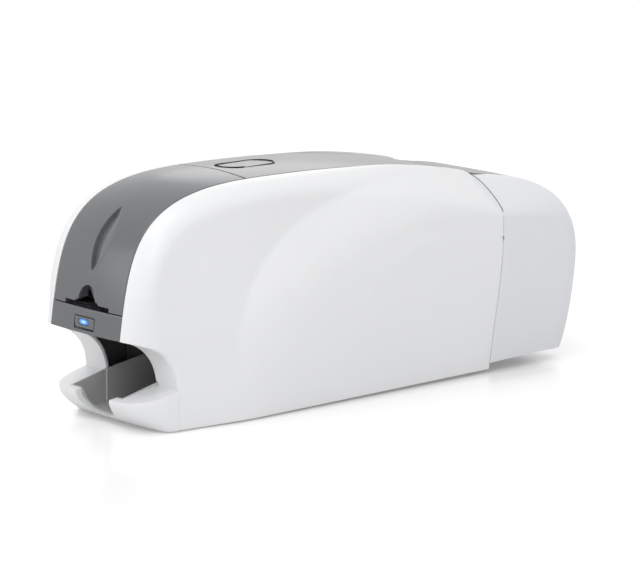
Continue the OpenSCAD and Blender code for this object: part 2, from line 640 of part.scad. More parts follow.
module drive_belt() {
    r0 = pulley_r + 0.35;
    x = -plate_x - 9.5;
    color(dark) difference() {
        union() {
            for (y = [belt_y0, belt_y1]) rod(y, roll_z, x, x + 5, r0 + 1.1);
            box([x, belt_y0, roll_z - r0 - 1.1], [x + 5, belt_y1, roll_z + r0 + 1.1]);
        }
        for (y = [belt_y0, belt_y1]) rod(y, roll_z, x - 1, x + 6, r0);
        box([x - 1, belt_y0, roll_z - r0], [x + 6, belt_y1, roll_z + r0]);
    }
}

// ---------- print station ----------
module print_head() {
    color(steel) difference() {
        union() {
            box([-32, 178, path_z + 7], [32, 206, 128]);
            slab(-32, 32) polygon([[182, path_z + 7.1], [200, path_z + 7.1], [196, path_z + 2],
                [193, path_z + 0.8], [187, path_z + 0.8], [184, path_z + 2]]);
        }
        for (y = [181:4:202]) box([-33, y, 112], [33, y + 2, 129]);
    }
}
module head_bracket() {
    z = top_z - 22;
    head_top = edge_at(s_of_y(219, 1, 2))[1] - head_rib - 0.1;
    color(dark) {
        box([-32, 206, path_z + 9], [32, 208, z - 2]);
        both() box([30, 206, z - 22], [rails_x - 4.05, 218, head_top]);
        box([-32, 206, z - 4], [32, 216, z]);
    }
}
module spool(y, r) {
    color(dark) {
        rod(y, spool_z, -31, 31, 9);
        both() rod(y, spool_z, 31, 33, r + 2);
        rod(y, spool_z, -rails_x - 2.5, rails_x + 2.5, 4);
    }
    color([0.35, 0.12, 0.2]) rod(y, spool_z, -29, 29, r);
}
module supply_spool() { spool(supply_y, 16); }
module takeup_spool() { spool(takeup_y, 12); }
module ribbon_film() {
    z = path_z + 0.3;
    t = 0.2;
    color([0.3, 0.1, 0.2]) slab(-28, 28) polygon([[takeup_y + 11, spool_z - 9], [174, z], [208, z],
        [supply_y - 14.5, spool_z - 11],
        [supply_y - 14.5, spool_z - 11 + t * 1.3], [208, z + t], [174, z + t],
            [takeup_y + 11 + t * 1.3, spool_z - 9]]);
}
module cassette_rails() {
    color([0.75, 0.76, 0.78]) both() {
        slab(rails_x - 2.8, rails_x) difference() {
            polygon([[takeup_y - 7, spool_z + 8], [supply_y + 8, spool_z + 8],
                [supply_y + 8, spool_z - 9], [supply_y - 12, spool_z - 9], [supply_y - 22, spool_z - 18],
                [takeup_y + 26, spool_z - 18], [takeup_y + 14, spool_z - 9],
                [takeup_y - 7, spool_z - 9]]);
            for (y = [takeup_y, supply_y]) translate([y, spool_z]) circle(r = 4 + run_fit);
            translate([190, spool_z - 5]) square([64, 12], center = true);
        }
        for (y = [takeup_y + 17, supply_y - 16])
            box([rails_x - 0.1, y, spool_z - 8], [plate_x - 0.02, y + 5, spool_z - 2]);
    }
}

// ---------- rear module ----------
tail_cols = 20;
function tail_s(i) = 2 + 2 * i / tail_cols;
function tail_soft(i) = smooth(i / (tail_cols * 0.55));
function tail_half(i) = mix(half, 64, tail_soft(i));
function tail_d(i) = mix(30, 22, tail_soft(i));
function tail_p(i) = mix(1.3, 2, tail_soft(i));
function tail_foot(i) = let (u = i / tail_cols)
    u < 0.5 ? mix([rear_y, top_z - rear_drop - 50], [rear_y, 9], u / 0.5)
    : mix([rear_y, 9], [body_l - 52, 10.5], (u - 0.5) / 0.5);
function tail_in(i) = i == 0 ? [0, -1] : i == tail_cols ? unit([-1, 0.03]) : -out_at(tail_s(i));
tail_rows = 5;
tail_flat = 5;
function tail_pt(i, k) = let (
        e = edge_at(tail_s(i)),
        q = e + tail_in(i) * tail_d(i),
        u = 1 - cos(90 * k / tail_rows),
        p = k <= tail_rows ? e + tail_in(i) * tail_d(i) * u : mix(q, tail_foot(i),
            (k - tail_rows) / tail_flat),
        w = low_w + bulge(p[1]),
        x = k <= tail_rows ? tail_half(i) + (w - tail_half(i)) * turn(u, tail_p(i)) : w)
    [x, p[0], p[1]];
function tail_mid(i, a) = let (e = edge_at(tail_s(i)), c = 2 * (1 - a * a), o = out_at(tail_s(i)))
    [a * tail_half(i), e[0] + o[0] * c, e[1] + o[1] * c];
function flip(p) = [-p[0], p[1], p[2]];
tail_all = tail_rows + tail_flat;
tail_grid = concat(
    [for (k = [tail_all:-1:0]) [for (i = [0:tail_cols]) flip(tail_pt(i, k))]],
    [for (a = [-0.66, -0.33, 0, 0.33, 0.66]) [for (i = [0:tail_cols]) tail_mid(i, a)]],
    [for (k = [0:tail_all]) [for (i = [0:tail_cols]) tail_pt(i, k)]]);
function tail_hold(p) = [p[0], max(rear_y, p[1]), max(9, p[2])];
tail_back = [for (r = inner_of(tail_grid, wall)) [for (p = r) tail_hold(p)]];
band_end = rear_y + 48;
s_band = s_of_y(band_end, 2, 3);
module rear_housing() {
    under = [for (i = [0:8]) edge_at(mix(2, s_band, i / 8)) - [0, wall + 2]];
    color(rear_white) difference() {
        sheet(tail_grid, tail_back);
        slab(-half, half) polygon(concat([[rear_y - 9, top_z], [rear_y - 9, under[0][1]]], under,
            [[band_end, top_z]]));
        box([-port_w, body_l - 30, port_z0], [port_w, body_l + 9, port_z1]);
    }
}
rear_skin = band_grid(2.001, s_of_y(band_end + 1, 2, 3), 6, half - 0.05, false);
module rear_band() {
    color(grey) difference() {
        sheet(rear_skin, inner_of(rear_skin, wall));
        barrel(top_hinge, 1.999, rear_y + seam_gap);
        box([-half, band_end - 0.1, foot_h], [half, band_end + 9, top_z]);
    }
}
port_w = 52;
port_z0 = 24;
port_z1 = 50;
module port_panel() {
    y = body_l - 10;
    color(dark) difference() {
        box([-port_w + 0.02, y, port_z0 + 0.02], [port_w - 0.02, y + 2, port_z1 - 0.02]);
        translate([38, y - 1, 37]) rotate([-90, 0, 0]) cylinder(r = 4.1, h = 5);
        box([12, y - 1, 31], [24, y + 3, 42]);
        box([-10, y - 1, 30], [6, y + 3, 43]);
        box([-43.2, y - 1, 30.8], [-21.8, y + 3, 43.2]);
    }
}
module power_inlet() {
    y = body_l - 10;
    color(dark) translate([38, y + 2, 37]) rotate([90, 0, 0]) {
        difference() {
            cylinder(r = 4.1, h = 12);
            translate([0, 0, -1]) cylinder(r = 3.1, h = 11);
        }
    }
    color(steel) translate([38, y + 1, 37]) rotate([90, 0, 0]) cylinder(r = 0.9, h = 10);
}
module data_sockets() {
    y = body_l - 10;
    color(steel) difference() {
        box([12, y - 12, 31], [24, y + 2, 42]);
        box([13, y - 10, 32], [23, y + 3, 41]);
    }
    color(dark) box([15.5, y - 10.1, 35], [20.5, y, 38]);
    color(steel) difference() {
        box([-10, y - 14, 30], [6, y + 2, 43]);
        box([-8.5, y - 12, 31.5], [4.5, y + 3, 40]);
        box([-5, y - 12, 39], [1, y + 3, 42]);
    }
}
module switch_frame() {
    y = body_l - 10;
    color(dark) difference() {
        union() {
            box([-43.2, y - 10, 30.8], [-21.8, y + 2, 43.2]);
        }
        box([-42, y - 9, 32], [-23, y + 3, 42]);
        rod(y - 2, 37, -43.3, -21.7, 1.5 + run_fit);
    }
}
module power_switch() {
    y = body_l - 10;
    color([0.06, 0.06, 0.07]) {
        slab(-41.6, -23.4) polygon([[y - 6, 33.8], [y - 6, 40.2], [y + 1.2, 41], [y + 3.2, 40.8],
            [y + 1.6, 37], [y + 1.2, 33]]);
        rod(y - 2, 37, -43.1, -21.9, 1.5);
    }
}
module rear_tray() {
    vent = (body_l - 32 - rear_y) / 7.2;
    color(dark) difference() {
        box([-66, rear_y + 0.05, 9.2], [66, body_l - 32, 11.6]);
        for (i = [0:3]) box([-30, rear_y + vent * (i + 2), 8], [30, rear_y + vent * (i + 2) + 4, 13]);
    }
    color(dark) both() box([plate_x, rear_y - 1.9, 9.2], [plate_x + 2, rear_y + 0.1, 11.6]);
}
module flip_plate() {
    color(steel) difference() {
        slab(plate_x, plate_x + plate_t) polygon([[rear_y - 1.9, 11.6], [body_l - 40, 11.6],
            [body_l - 14, 60], [body_l - 12, 100],
            [body_l - 40, 138], [rear_y + 20, 142], [rear_y - 1.9, 100]]);
        rod(drum_y, path_z, plate_x - 1, plate_x + 4, 6 + run_fit);
        slab(plate_x - 1, plate_x + 4) polygon([[rear_y + 20, 30], [body_l - 44, 30], [body_l - 34, 50],
            [rear_y + 20, 50]]);
    }
}
module flip_plates() { both() flip_plate(); }
module flip_drum() {
    color([0.3, 0.31, 0.33]) difference() {
        union() {
            both() rod(drum_y, path_z, 34, 36, drum_r);
            both() rod(drum_y, path_z, 36, plate_x + plate_t + 0.6, 6);
            for (s = [1, -1]) box([-34.1, drum_y - 40, path_z + 0.38 + s * 9 - 0.8],
                [34.1, drum_y + 40, path_z + 0.38 + s * 9 + 0.8]);
        }
        for (y = flip_ys) for (z = [flip_lo, flip_hi]) rod(y, z, -40, 40, pin_r + run_fit);
        for (s = [1, -1]) for (y = flip_ys)
            box([-28, y - 7, path_z + 0.38 + s * 9 - 2], [28, y + 7, path_z + 0.38 + s * 9 + 2]);
        for (s = [1, -1]) both() slab(33, 37) polygon([[drum_y - 20, path_z + s * 20],
            [drum_y + 20, path_z + s * 20], [drum_y + 12, path_z + s * 36],
            [drum_y - 12, path_z + s * 36]]);
        box([-34.2, drum_y - 50, path_z - 0.5], [34.2, drum_y + 50, path_z + 1.3]);
    }
}
flip_ys = [drum_y - 24, drum_y + 24];
flip_r = 5.2;
flip_lo = path_z - 0.1 - flip_r;
flip_hi = path_z + 0.86 + flip_r;
module flip_roller(y, z) {
    color(dark) rod(y, z, -26, 26, flip_r);
    color(steel) rod(y, z, -35.8, 35.8, pin_r);
}
module flip_roller_a() { flip_roller(flip_ys[0], flip_lo); }
module flip_roller_b() { flip_roller(flip_ys[1], flip_lo); }
module flip_roller_c() { flip_roller(flip_ys[0], flip_hi); }
module flip_roller_d() { flip_roller(flip_ys[1], flip_hi); }
module main_board() {
    color([0.08, 0.34, 0.2]) box([-44, 232, 12], [-42.4, 345, 84]);
    color(dark) for (p = [[250, 30, 22], [284, 44, 16], [312, 24, 18]]) box([-42.45, p[0], p[1]],
        [-39.5, p[0] + p[2], p[1] + p[2]]);
    color(steel) for (y = [238, 338]) for (z = [18, 78]) rod(y, z, -plate_x, -44, 3);
}

at_front() side_panel_right();
at_front() side_panel_left();
at_front() base_pan();
at_front() rubber_feet();
at_front() front_bezel();
at_front() led_button();
at_front() led_window();
at_front() front_frame();
at_front() output_tray();
at_front() tray_liner();
at_front() exit_chute();
at_front() hopper_floor();
at_front() hopper_walls();
at_front() card_weight();
at_front() hopper_cover();
at_front() cover_inserts();
at_front() hopper_frame();
at_front() top_cover();
at_front() top_frame();
at_front() release_button();
at_front() latch_bar();
at_front() cross_rods();
at_front() mech_plates();
at_front() lower_guide();
at_front() pick_roller();
at_front() clean_roller();
at_front() feed_roller_a();
at_front() feed_roller_b();
at_front() feed_roller_c();
at_front() feed_roller_d();
at_front() pinch_a();
at_front() pinch_b();
at_front() pinch_c();
at_front() pinch_d();
at_front() platen_rubber();
at_front() platen_shaft();
at_front() motor_pinion();
at_front() drive_motor();
at_front() drive_belt();
at_front() print_head();
at_front() head_bracket();
at_front() supply_spool();
at_front() takeup_spool();
at_front() ribbon_film();
at_front() cassette_rails();
at_front() rear_housing();
at_front() rear_band();
at_front() port_panel();
at_front() power_inlet();
at_front() data_sockets();
at_front() switch_frame();
at_front() power_switch();
at_front() rear_tray();
at_front() flip_plates();
at_front() flip_drum();
at_front() flip_roller_a();
at_front() flip_roller_b();
at_front() flip_roller_c();
at_front() flip_roller_d();
at_front() main_board();
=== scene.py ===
import json
import math
import bmesh
import bpy
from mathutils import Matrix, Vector


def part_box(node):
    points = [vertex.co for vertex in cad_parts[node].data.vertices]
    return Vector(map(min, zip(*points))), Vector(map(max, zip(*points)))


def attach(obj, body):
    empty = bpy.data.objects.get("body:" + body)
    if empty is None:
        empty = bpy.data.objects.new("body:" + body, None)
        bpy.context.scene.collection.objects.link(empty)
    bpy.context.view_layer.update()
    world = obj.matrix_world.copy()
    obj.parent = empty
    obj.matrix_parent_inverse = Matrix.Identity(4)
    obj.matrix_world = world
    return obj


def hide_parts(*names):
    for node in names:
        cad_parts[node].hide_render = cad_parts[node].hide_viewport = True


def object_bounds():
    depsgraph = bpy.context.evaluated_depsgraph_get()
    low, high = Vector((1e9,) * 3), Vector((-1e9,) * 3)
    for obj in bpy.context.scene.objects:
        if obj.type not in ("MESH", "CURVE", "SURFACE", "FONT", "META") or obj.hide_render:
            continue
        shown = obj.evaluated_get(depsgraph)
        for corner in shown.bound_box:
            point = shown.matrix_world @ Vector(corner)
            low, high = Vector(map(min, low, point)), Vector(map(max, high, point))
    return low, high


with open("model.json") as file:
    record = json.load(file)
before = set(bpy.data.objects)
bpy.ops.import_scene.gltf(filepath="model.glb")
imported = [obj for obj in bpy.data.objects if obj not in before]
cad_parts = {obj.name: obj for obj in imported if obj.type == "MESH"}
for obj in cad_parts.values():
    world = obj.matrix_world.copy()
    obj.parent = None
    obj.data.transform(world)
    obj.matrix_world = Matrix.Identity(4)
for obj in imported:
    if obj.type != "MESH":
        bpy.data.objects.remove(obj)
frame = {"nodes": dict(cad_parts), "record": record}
cadBounds = [list(corner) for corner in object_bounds()]
mm = 0.001
nodeSlot = {part["node"]: part["material_slot"] for part in frame["record"]["subparts"]}

# Millimetres, y from the front edge to the rear, z from the table
body = {
    "length": (cadBounds[1][1] - cadBounds[0][1]) / mm,
    "width": (cadBounds[1][0] - cadBounds[0][0]) / mm,
    "height": 195, "bandWidth": 90, "wall": 2.5, "rimRadius": 0.9,
    "crown": 3, "noseCrown": 2, "rearCrown": 0.4, "crownRise": 1.3,
    "footHeight": 3.5, "frontFoot": 1.0,  # under the base, and under the tray
    "seamY": 131, "seamGap": 0.5,  # between the two covers
    "rearY": 378, "rearDrop": 22.5,  # joint of the rear module
    "bezelZ": 77, "slotZ": 96.6,
    "rearSink": 0.4, "sinkFrom": 270, "sinkRun": 80, "tailSink": 0.3,  # cover below its edge
    "tailDip": 1.6, "dipRun": 80, "panelRise": 1.1, "shoulderDrop": 1.5, "shoulderRun": 25,
    "lowHalf": 70, "bulgeTop": 125,
    "noseHalf": 61, "noseFrom": 35, "noseRun": 90, "noseFlare": 4.2, "flareFrom": 45, "flareRun": 35,
}
half = body["bandWidth"] / 2
coverHalf = half - body["seamGap"]
rearZ = body["height"] - body["crown"] - body["rearDrop"]
topZ = body["height"] - body["crown"]
bezelZ = body["bezelZ"]
rearY, endY = body["rearY"], body["length"]
bulgeDepth = body["width"] / 2 - body["lowHalf"]


def mix(a, b, t):
    return a * (1 - t) + b * t


def clamp(v, low=0.0, high=1.0):
    return min(high, max(low, v))


def justBelow(n):
    return n - 1e-6


def smooth(u):
    c = clamp(u)
    return c * c * (3 - 2 * c)


def toRow(x, y, z):
    return Vector((x, y - body["length"] / 2, z)) * mm


def bezier(p, t):
    return p[0] * (1 - t) ** 3 + p[1] * (3 * (1 - t) ** 2 * t) + p[2] * (3 * (1 - t) * t * t) + p[3] * t ** 3


def bezierSlope(p, t):
    return (p[1] - p[0]) * (1 - t) ** 2 + (p[2] - p[1]) * (2 * (1 - t) * t) + (p[3] - p[2]) * (t * t)


def curve(*points):
    return [Vector(p) for p in points]


# Side view of the band edge: nose, top, rear module, rear face
profile = [
    curve((2, bezelZ), (13.2, mix(bezelZ, topZ, 0.66)), (21, topZ), (140, topZ)),
    curve((140, topZ), (224, topZ), (300, topZ - 3.5), (rearY, rearZ)),
    curve((rearY, rearZ), (rearY + 40, rearZ - 5), (endY - 2, rearZ - 4.5), (endY - 2, 92)),
    curve((endY - 2, 92), (endY - 2, 50), (endY - 6, 25), (endY - 14, 10)),
]
scoopEnd = Vector((48.5, bezelZ - 46))
scoop = curve((2, bezelZ), (34, bezelZ - 8), (46, bezelZ - 20), scoopEnd)


def edgeAt(s):
    k = min(3, int(s))
    p = bezier(profile[k], s - k)
    if s >= 2:
        # a shallow dip along the top of the rear module
        p.y -= body["tailDip"] * math.sin(math.pi * clamp((p.x - rearY) / body["dipRun"]))
    return p


def outAt(s):
    k = min(3, int(s))
    d = bezierSlope(profile[k], s - k).normalized()
    return Vector((-d.y, d.x))


def crownAt(s):
    if s <= 1:
        return mix(body["noseCrown"], body["crown"], smooth(s * body["crownRise"]))
    return mix(body["crown"], body["rearCrown"], smooth(min(1, s - 1)))


def findOnEdge(axis, value, low, high):
    # the place where the edge reaches a length or a height
    for _ in range(30):
        mid = (low + high) / 2
        if edgeAt(mid)[axis] < value:
            low = mid
        else:
            high = mid
    return (low + high) / 2


def bandPlace(s, x, drop=0.0, rim=0.0):
    # rim is the radius of the rounded long edges
    out = outAt(s)
    if s < 2:
        drop += body["rearSink"] * smooth((edgeAt(s).x - body["sinkFrom"]) / body["sinkRun"])
    else:
        drop += body["tailSink"]
    past = abs(x) - coverHalf + rim
    if rim and past > 0:
        drop += rim - math.sqrt(max(0.0, rim * rim - past * past))
    p = edgeAt(s) + out * (crownAt(s) * (1 - (x / half) ** 2) - drop)
    return toRow(x, p.x, p.y)


def lineDistance(p, line):
    # distance to a chain of points, its sign, and the place along it from 0 to 1
    best = (1e9, 1, 0)
    for i in range(len(line) - 1):
        a, d = line[i], line[i + 1] - line[i]
        t = clamp((p - a).dot(d) / d.length_squared)
        gap = (p - a - d * t).length
        if gap < best[0]:
            side = 1 if (p.x - a.x) * d.y - (p.y - a.y) * d.x > 0 else -1
            best = (gap, side, (i + t) / (len(line) - 1))
    return best


# Raised arch on the side, and a faint ridge inside it
arch = {"frontRun": 65, "rearRun": 34, "shortenFrom": 130, "shortenRun": 200}
crest = {"height": 0.9, "width": 6}
archRise = curve((112, 4), (80, 95), (130, 178), (268, 178))
archFall = curve((268, 178), (320, 178), (350, 176), (rearY + 2, 168))
archLine = [bezier(archRise, i / 14) for i in range(14)] + [bezier(archFall, i / 5) for i in range(6)]
crestLine = [bezier(curve((214, 66), (232, 112), (290, 140), (340, 119)), i / 8) for i in range(9)]


def bulgeAt(z):
    u = clamp(z / body["bulgeTop"])
    return bulgeDepth * (0.5 * math.sin(math.pi / 2 * u) + 0.5 * smooth(u))


def archAt(p):
    if p.x > rearY:
        return 1.0
    run = mix(arch["frontRun"], arch["rearRun"], smooth((p.x - arch["shortenFrom"]) / arch["shortenRun"]))
    gap, side, along = lineDistance(p, archLine)
    return 1 - (1 - clamp(side * gap / run)) ** 2


def sideHalf(p):
    back = smooth((p.x - body["noseFrom"]) / body["noseRun"])
    w = mix(body["noseHalf"], body["lowHalf"], back) + bulgeAt(p.y) * archAt(p)
    w += body["noseFlare"] * smooth((p.y - body["flareFrom"]) / body["flareRun"]) * (1 - back)
    gap, side, along = lineDistance(p, crestLine)
    ridge = math.exp(-(gap / crest["width"]) ** 2) * math.sin(math.pi * clamp(along, 0.04, 0.96))
    return w - crest["height"] * (1 - ridge)


def turnCurve(u, power):
    return 1.0 if u >= 1 else (1 - (1 - max(0.0, u)) ** power) ** (1 / power)


# Mesh helpers: a grid laid out by a function, solids from it, and cuts
def gridMesh(columns, rows, place):
    bm = bmesh.new()
    bmesh.ops.create_grid(bm, x_segments=columns, y_segments=rows, size=0.5)
    for v in bm.verts:
        v.co = place(clamp(v.co.x + 0.5), clamp(v.co.y + 0.5))
    return bm


def joinInto(bm, other):
    mesh = bpy.data.meshes.new("joined")
    other.to_mesh(mesh)
    other.free()
    bm.from_mesh(mesh)
    bpy.data.meshes.remove(mesh)


def faceTowards(bm, direction):
    bmesh.ops.recalc_face_normals(bm, faces=bm.faces[:])
    total = sum((f.normal * f.calc_area() for f in bm.faces), Vector())
    if total.dot(direction) < 0:
        bmesh.ops.reverse_faces(bm, faces=bm.faces[:])


def toObject(bm, name):
    bm.normal_update()
    mesh = bpy.data.meshes.new(name)
    bm.to_mesh(mesh)
    bm.free()
    obj = bpy.data.objects.new(name, mesh)
    bpy.context.scene.collection.objects.link(obj)
    return obj


def applyModifiers(obj):
    graph = bpy.context.evaluated_depsgraph_get()
    mesh = bpy.data.meshes.new_from_object(obj.evaluated_get(graph), depsgraph=graph)
    obj.modifiers.clear()
    obj.data = mesh
    return obj


def thicken(obj, wall=None):
    solid = obj.modifiers.new("wall", "SOLIDIFY")
    solid.thickness = (wall or body["wall"]) * mm
    solid.offset = -1
    return applyModifiers(obj)


def cutWith(obj, cutter, operation="DIFFERENCE"):
    tool = toObject(cutter, "cutter")
    cut = obj.modifiers.new("cut", "BOOLEAN")
    cut.operation = operation
    cut.solver = "EXACT"
    cut.object = tool
    applyModifiers(obj)
    bpy.data.objects.remove(tool)
    return obj


def softenEdges(obj, width, segments=2, angle=38):
    bevel = obj.modifiers.new("edges", "BEVEL")
    bevel.width = width * mm
    bevel.segments = segments
    bevel.limit_method = "ANGLE"
    bevel.angle_limit = math.radians(angle)
    bevel.harden_normals = False
    return applyModifiers(obj)


def shade(obj, angle=35):
    for p in obj.data.polygons:
        p.use_smooth = True
    obj.data.set_sharp_from_angle(angle=math.radians(angle))


def outlinePrism(points, place, depth):
    # a closed outline made a face, then pushed along depth
    bm = bmesh.new()
    face = bm.faces.new([bm.verts.new(place(*p)) for p in points])
    moved = bmesh.ops.extrude_face_region(bm, geom=[face])["geom"]
    bmesh.ops.translate(bm, verts=[v for v in moved if isinstance(v, bmesh.types.BMVert)], vec=depth)
    bmesh.ops.recalc_face_normals(bm, faces=bm.faces[:])
    return bm


def uprightPrism(points, low, height):
    return outlinePrism(points, lambda x, y: toRow(x, y, low), Vector((0, 0, height * mm)))


def roundedBox(low, high, radius, segments=3):
    bm = bmesh.new()
    bmesh.ops.create_cube(bm, size=1)
    a, b = Vector(low), Vector(high)
    for v in bm.verts:
        v.co = toRow(*[mix(a[k], b[k], v.co[k] + 0.5) for k in range(3)])
    bmesh.ops.bevel(bm, geom=bm.edges[:], offset=radius * mm, segments=segments, profile=0.5, material=-1,
                    affect="EDGES")
    return bm


def addPiece(obj, bodyName, finish, stands=(), angle=35):
    shade(obj, angle)
    obj.data.materials.clear()
    obj.data.materials.append(finish)
    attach(obj, bodyName)
    if stands:
        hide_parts(*stands)
    return obj


# Material helpers
def startMaterial(name):
    mat = bpy.data.materials.new(name)
    mat.use_nodes = True
    nodes, links = mat.node_tree.nodes, mat.node_tree.links
    return mat, nodes, links, nodes["Principled BSDF"]


def plastic(name, colour, rough, grain=0.9, relief=0.06, tone=0.03, roughSpread=0.06, specular=0.5,
            scale=2600):
    mat, nodes, links, shader = startMaterial(name)
    shader.inputs["Specular IOR Level"].default_value = specular
    coords = nodes.new("ShaderNodeTexCoord")
    cloud = nodes.new("ShaderNodeTexNoise")
    cloud.inputs["Scale"].default_value = 9
    cloud.inputs["Detail"].default_value = 4
    ramp = nodes.new("ShaderNodeValToRGB")
    ramp.color_ramp.elements[0].position = 0.3
    ramp.color_ramp.elements[1].position = 0.7
    ramp.color_ramp.elements[0].color = [c * (1 - tone) for c in colour] + [1]
    ramp.color_ramp.elements[1].color = [min(1, c * (1 + tone)) for c in colour] + [1]
    fine = nodes.new("ShaderNodeTexNoise")
    fine.inputs["Scale"].default_value = scale
    fine.inputs["Detail"].default_value = 3
    fine.inputs["Roughness"].default_value = 0.6
    bump = nodes.new("ShaderNodeBump")
    bump.inputs["Strength"].default_value = relief
    bump.inputs["Distance"].default_value = grain * mm * 0.1
    patch = nodes.new("ShaderNodeTexNoise")
    patch.inputs["Scale"].default_value = 60
    patch.inputs["Detail"].default_value = 5
    spread = nodes.new("ShaderNodeMapRange")
    spread.inputs["To Min"].default_value = rough - roughSpread
    spread.inputs["To Max"].default_value = rough + roughSpread
    for noise in (cloud, fine, patch):
        links.new(coords.outputs["Object"], noise.inputs["Vector"])
    links.new(cloud.outputs["Fac"], ramp.inputs["Fac"])
    links.new(ramp.outputs["Color"], shader.inputs["Base Color"])
    links.new(fine.outputs["Fac"], bump.inputs["Height"])
    links.new(bump.outputs["Normal"], shader.inputs["Normal"])
    links.new(patch.outputs["Fac"], spread.inputs["Value"])
    links.new(spread.outputs["Result"], shader.inputs["Roughness"])
    return mat


def metal(name, colour, rough, stretch=(1, 60, 60), grain=30):
    mat, nodes, links, shader = startMaterial(name)
    shader.inputs["Metallic"].default_value = 1
    coords = nodes.new("ShaderNodeTexCoord")
    turn = nodes.new("ShaderNodeMapping")
    turn.inputs["Scale"].default_value = stretch
    brush = nodes.new("ShaderNodeTexNoise")
    brush.inputs["Scale"].default_value = grain
    brush.inputs["Detail"].default_value = 6
    ramp = nodes.new("ShaderNodeValToRGB")
    ramp.color_ramp.elements[0].color = [c * 0.8 for c in colour] + [1]
    ramp.color_ramp.elements[1].color = list(colour) + [1]
    spread = nodes.new("ShaderNodeMapRange")
    spread.inputs["To Min"].default_value = rough * 0.75
    spread.inputs["To Max"].default_value = rough * 1.3
    bump = nodes.new("ShaderNodeBump")
    bump.inputs["Strength"].default_value = 0.12
    bump.inputs["Distance"].default_value = 0.0002
    links.new(coords.outputs["Object"], turn.inputs["Vector"])
    links.new(turn.outputs["Vector"], brush.inputs["Vector"])
    links.new(brush.outputs["Fac"], ramp.inputs["Fac"])
    links.new(ramp.outputs["Color"], shader.inputs["Base Color"])
    links.new(brush.outputs["Fac"], spread.inputs["Value"])
    links.new(spread.outputs["Result"], shader.inputs["Roughness"])
    links.new(brush.outputs["Fac"], bump.inputs["Height"])
    links.new(bump.outputs["Normal"], shader.inputs["Normal"])
    return mat


def litLens(name, colour, glow, core):
    mat, nodes, links, shader = startMaterial(name)
    shader.inputs["Roughness"].default_value = 0.2
    coords = nodes.new("ShaderNodeTexCoord")
    centre = nodes.new("ShaderNodeMapping")
    spread = (140, 0, 330)  # the glow is wider than it is high
    centre.inputs["Location"].default_value = [-c * s for c, s in zip(core, spread)]
    centre.inputs["Scale"].default_value = spread
    ball = nodes.new("ShaderNodeTexGradient")
    ball.gradient_type = "SPHERICAL"
    ramp = nodes.new("ShaderNodeValToRGB")
    ramp.color_ramp.elements[0].color = [c * 0.35 for c in colour] + [1]
    ramp.color_ramp.elements[1].color = [0.45, 0.8, 1, 1]
    middle = ramp.color_ramp.elements.new(0.35)
    middle.color = list(colour) + [1]
    links.new(coords.outputs["Object"], centre.inputs["Vector"])
    links.new(centre.outputs["Vector"], ball.inputs["Vector"])
    links.new(ball.outputs["Fac"], ramp.inputs["Fac"])
    links.new(ramp.outputs["Color"], shader.inputs["Base Color"])
    links.new(ramp.outputs["Color"], shader.inputs["Emission Color"])
    shader.inputs["Emission Strength"].default_value = glow
    return mat


# Base colours are linear
finish = {
    "white_shell": plastic("whiteShell", (0.80, 0.805, 0.815), 0.34, relief=0.05, tone=0.006),
    "rear_shell": plastic("rearShell", (0.74, 0.75, 0.775), 0.34, relief=0.05, tone=0.006),
    "grey_shell": plastic("greyShell", (0.107, 0.111, 0.119), 0.24, relief=0.03, tone=0.02, roughSpread=0.015,
                          specular=0.7, scale=1900),
    "dark_plastic": plastic("darkPlastic", (0.022, 0.022, 0.025), 0.5, relief=0.12, tone=0.08),
    "tray_grey": plastic("trayGrey", (0.53, 0.535, 0.54), 0.35, relief=0.06, tone=0.02),
    "roller_rubber": plastic("rollerRubber", (0.028, 0.028, 0.03), 0.75, relief=0.3, tone=0.1, specular=0.3),
    "board": plastic("boardGreen", (0.012, 0.085, 0.042), 0.35, relief=0.2, tone=0.15, scale=500),
    "ribbon": plastic("ribbonFilm", (0.09, 0.012, 0.035), 0.22, relief=0.02, tone=0.1),
    "drum_grey": plastic("drumGrey", (0.075, 0.078, 0.085), 0.45, relief=0.12, tone=0.05),
    "steel": metal("platedSteel", (0.56, 0.57, 0.59), 0.34),
    "head_metal": metal("headMetal", (0.72, 0.73, 0.74), 0.28, stretch=(60, 1, 60)),
    "gear_metal": metal("gearBrass", (0.7, 0.52, 0.2), 0.3),
}
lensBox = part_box("led_window")
finish["blue_lens"] = litLens("blueLens", (0.05, 0.22, 0.66), 0.3, (lensBox[0] + lensBox[1]) / 2)
for node, obj in frame["nodes"].items():
    obj.data.materials.clear()
    obj.data.materials.append(finish[nodeSlot[node]])
print("materials on", len(frame["nodes"]), "nodes")

# Side panels: scoopEnd and footEnd are shares of the columns that end at the tray and at the front foot
panel = {"columns": 190, "turnRows": 14, "flatRows": 58, "scoopEnd": 0.24, "footEnd": 0.34,
         "fillet": 4.2, "filletSteps": 6, "lip": 1.4, "reach": 34, "rearGap": 0.2,
         "turnDepth": (16, 30), "turnPower": (2, 1.3), "softFrom": 150, "scoopTurn": 0.35,
         "frontBlend": 12, "rearSquare": 30, "creaseMin": 0.4, "slantFade": (0.3, 0.2),
         "riseFrom": 230, "riseRun": 60, "fallRun": 16, "slant": 30, "slantPower": 6, "nearFront": 95}
seamFoot = Vector((scoopEnd.x, body["frontFoot"]))
seamLine = [bezier(scoop, i / 40) for i in range(41)]
seamLine += [mix(scoopEnd, seamFoot, k / 20) for k in range(1, 21)]
scoopShare = 40 / 60
noseShare = 0.4


def seamPoint(along):
    if along <= scoopShare:
        return bezier(scoop, along / scoopShare)
    return mix(scoopEnd, seamFoot, (along - scoopShare) / (1 - scoopShare))


def seamNormal(along):
    d = seamPoint(clamp(along + 0.03)) - seamPoint(clamp(along - 0.03))
    return Vector((-d.y, d.x)).normalized()


def seamAlong(a):
    # the place on the seam of a column of the panel
    tray, foot = panel["scoopEnd"], panel["footEnd"]
    if a < tray:
        return scoopShare * (0.5 + 0.5 * a / tray)
    return mix(scoopShare, 1, clamp((a - tray) / (foot - tray)))


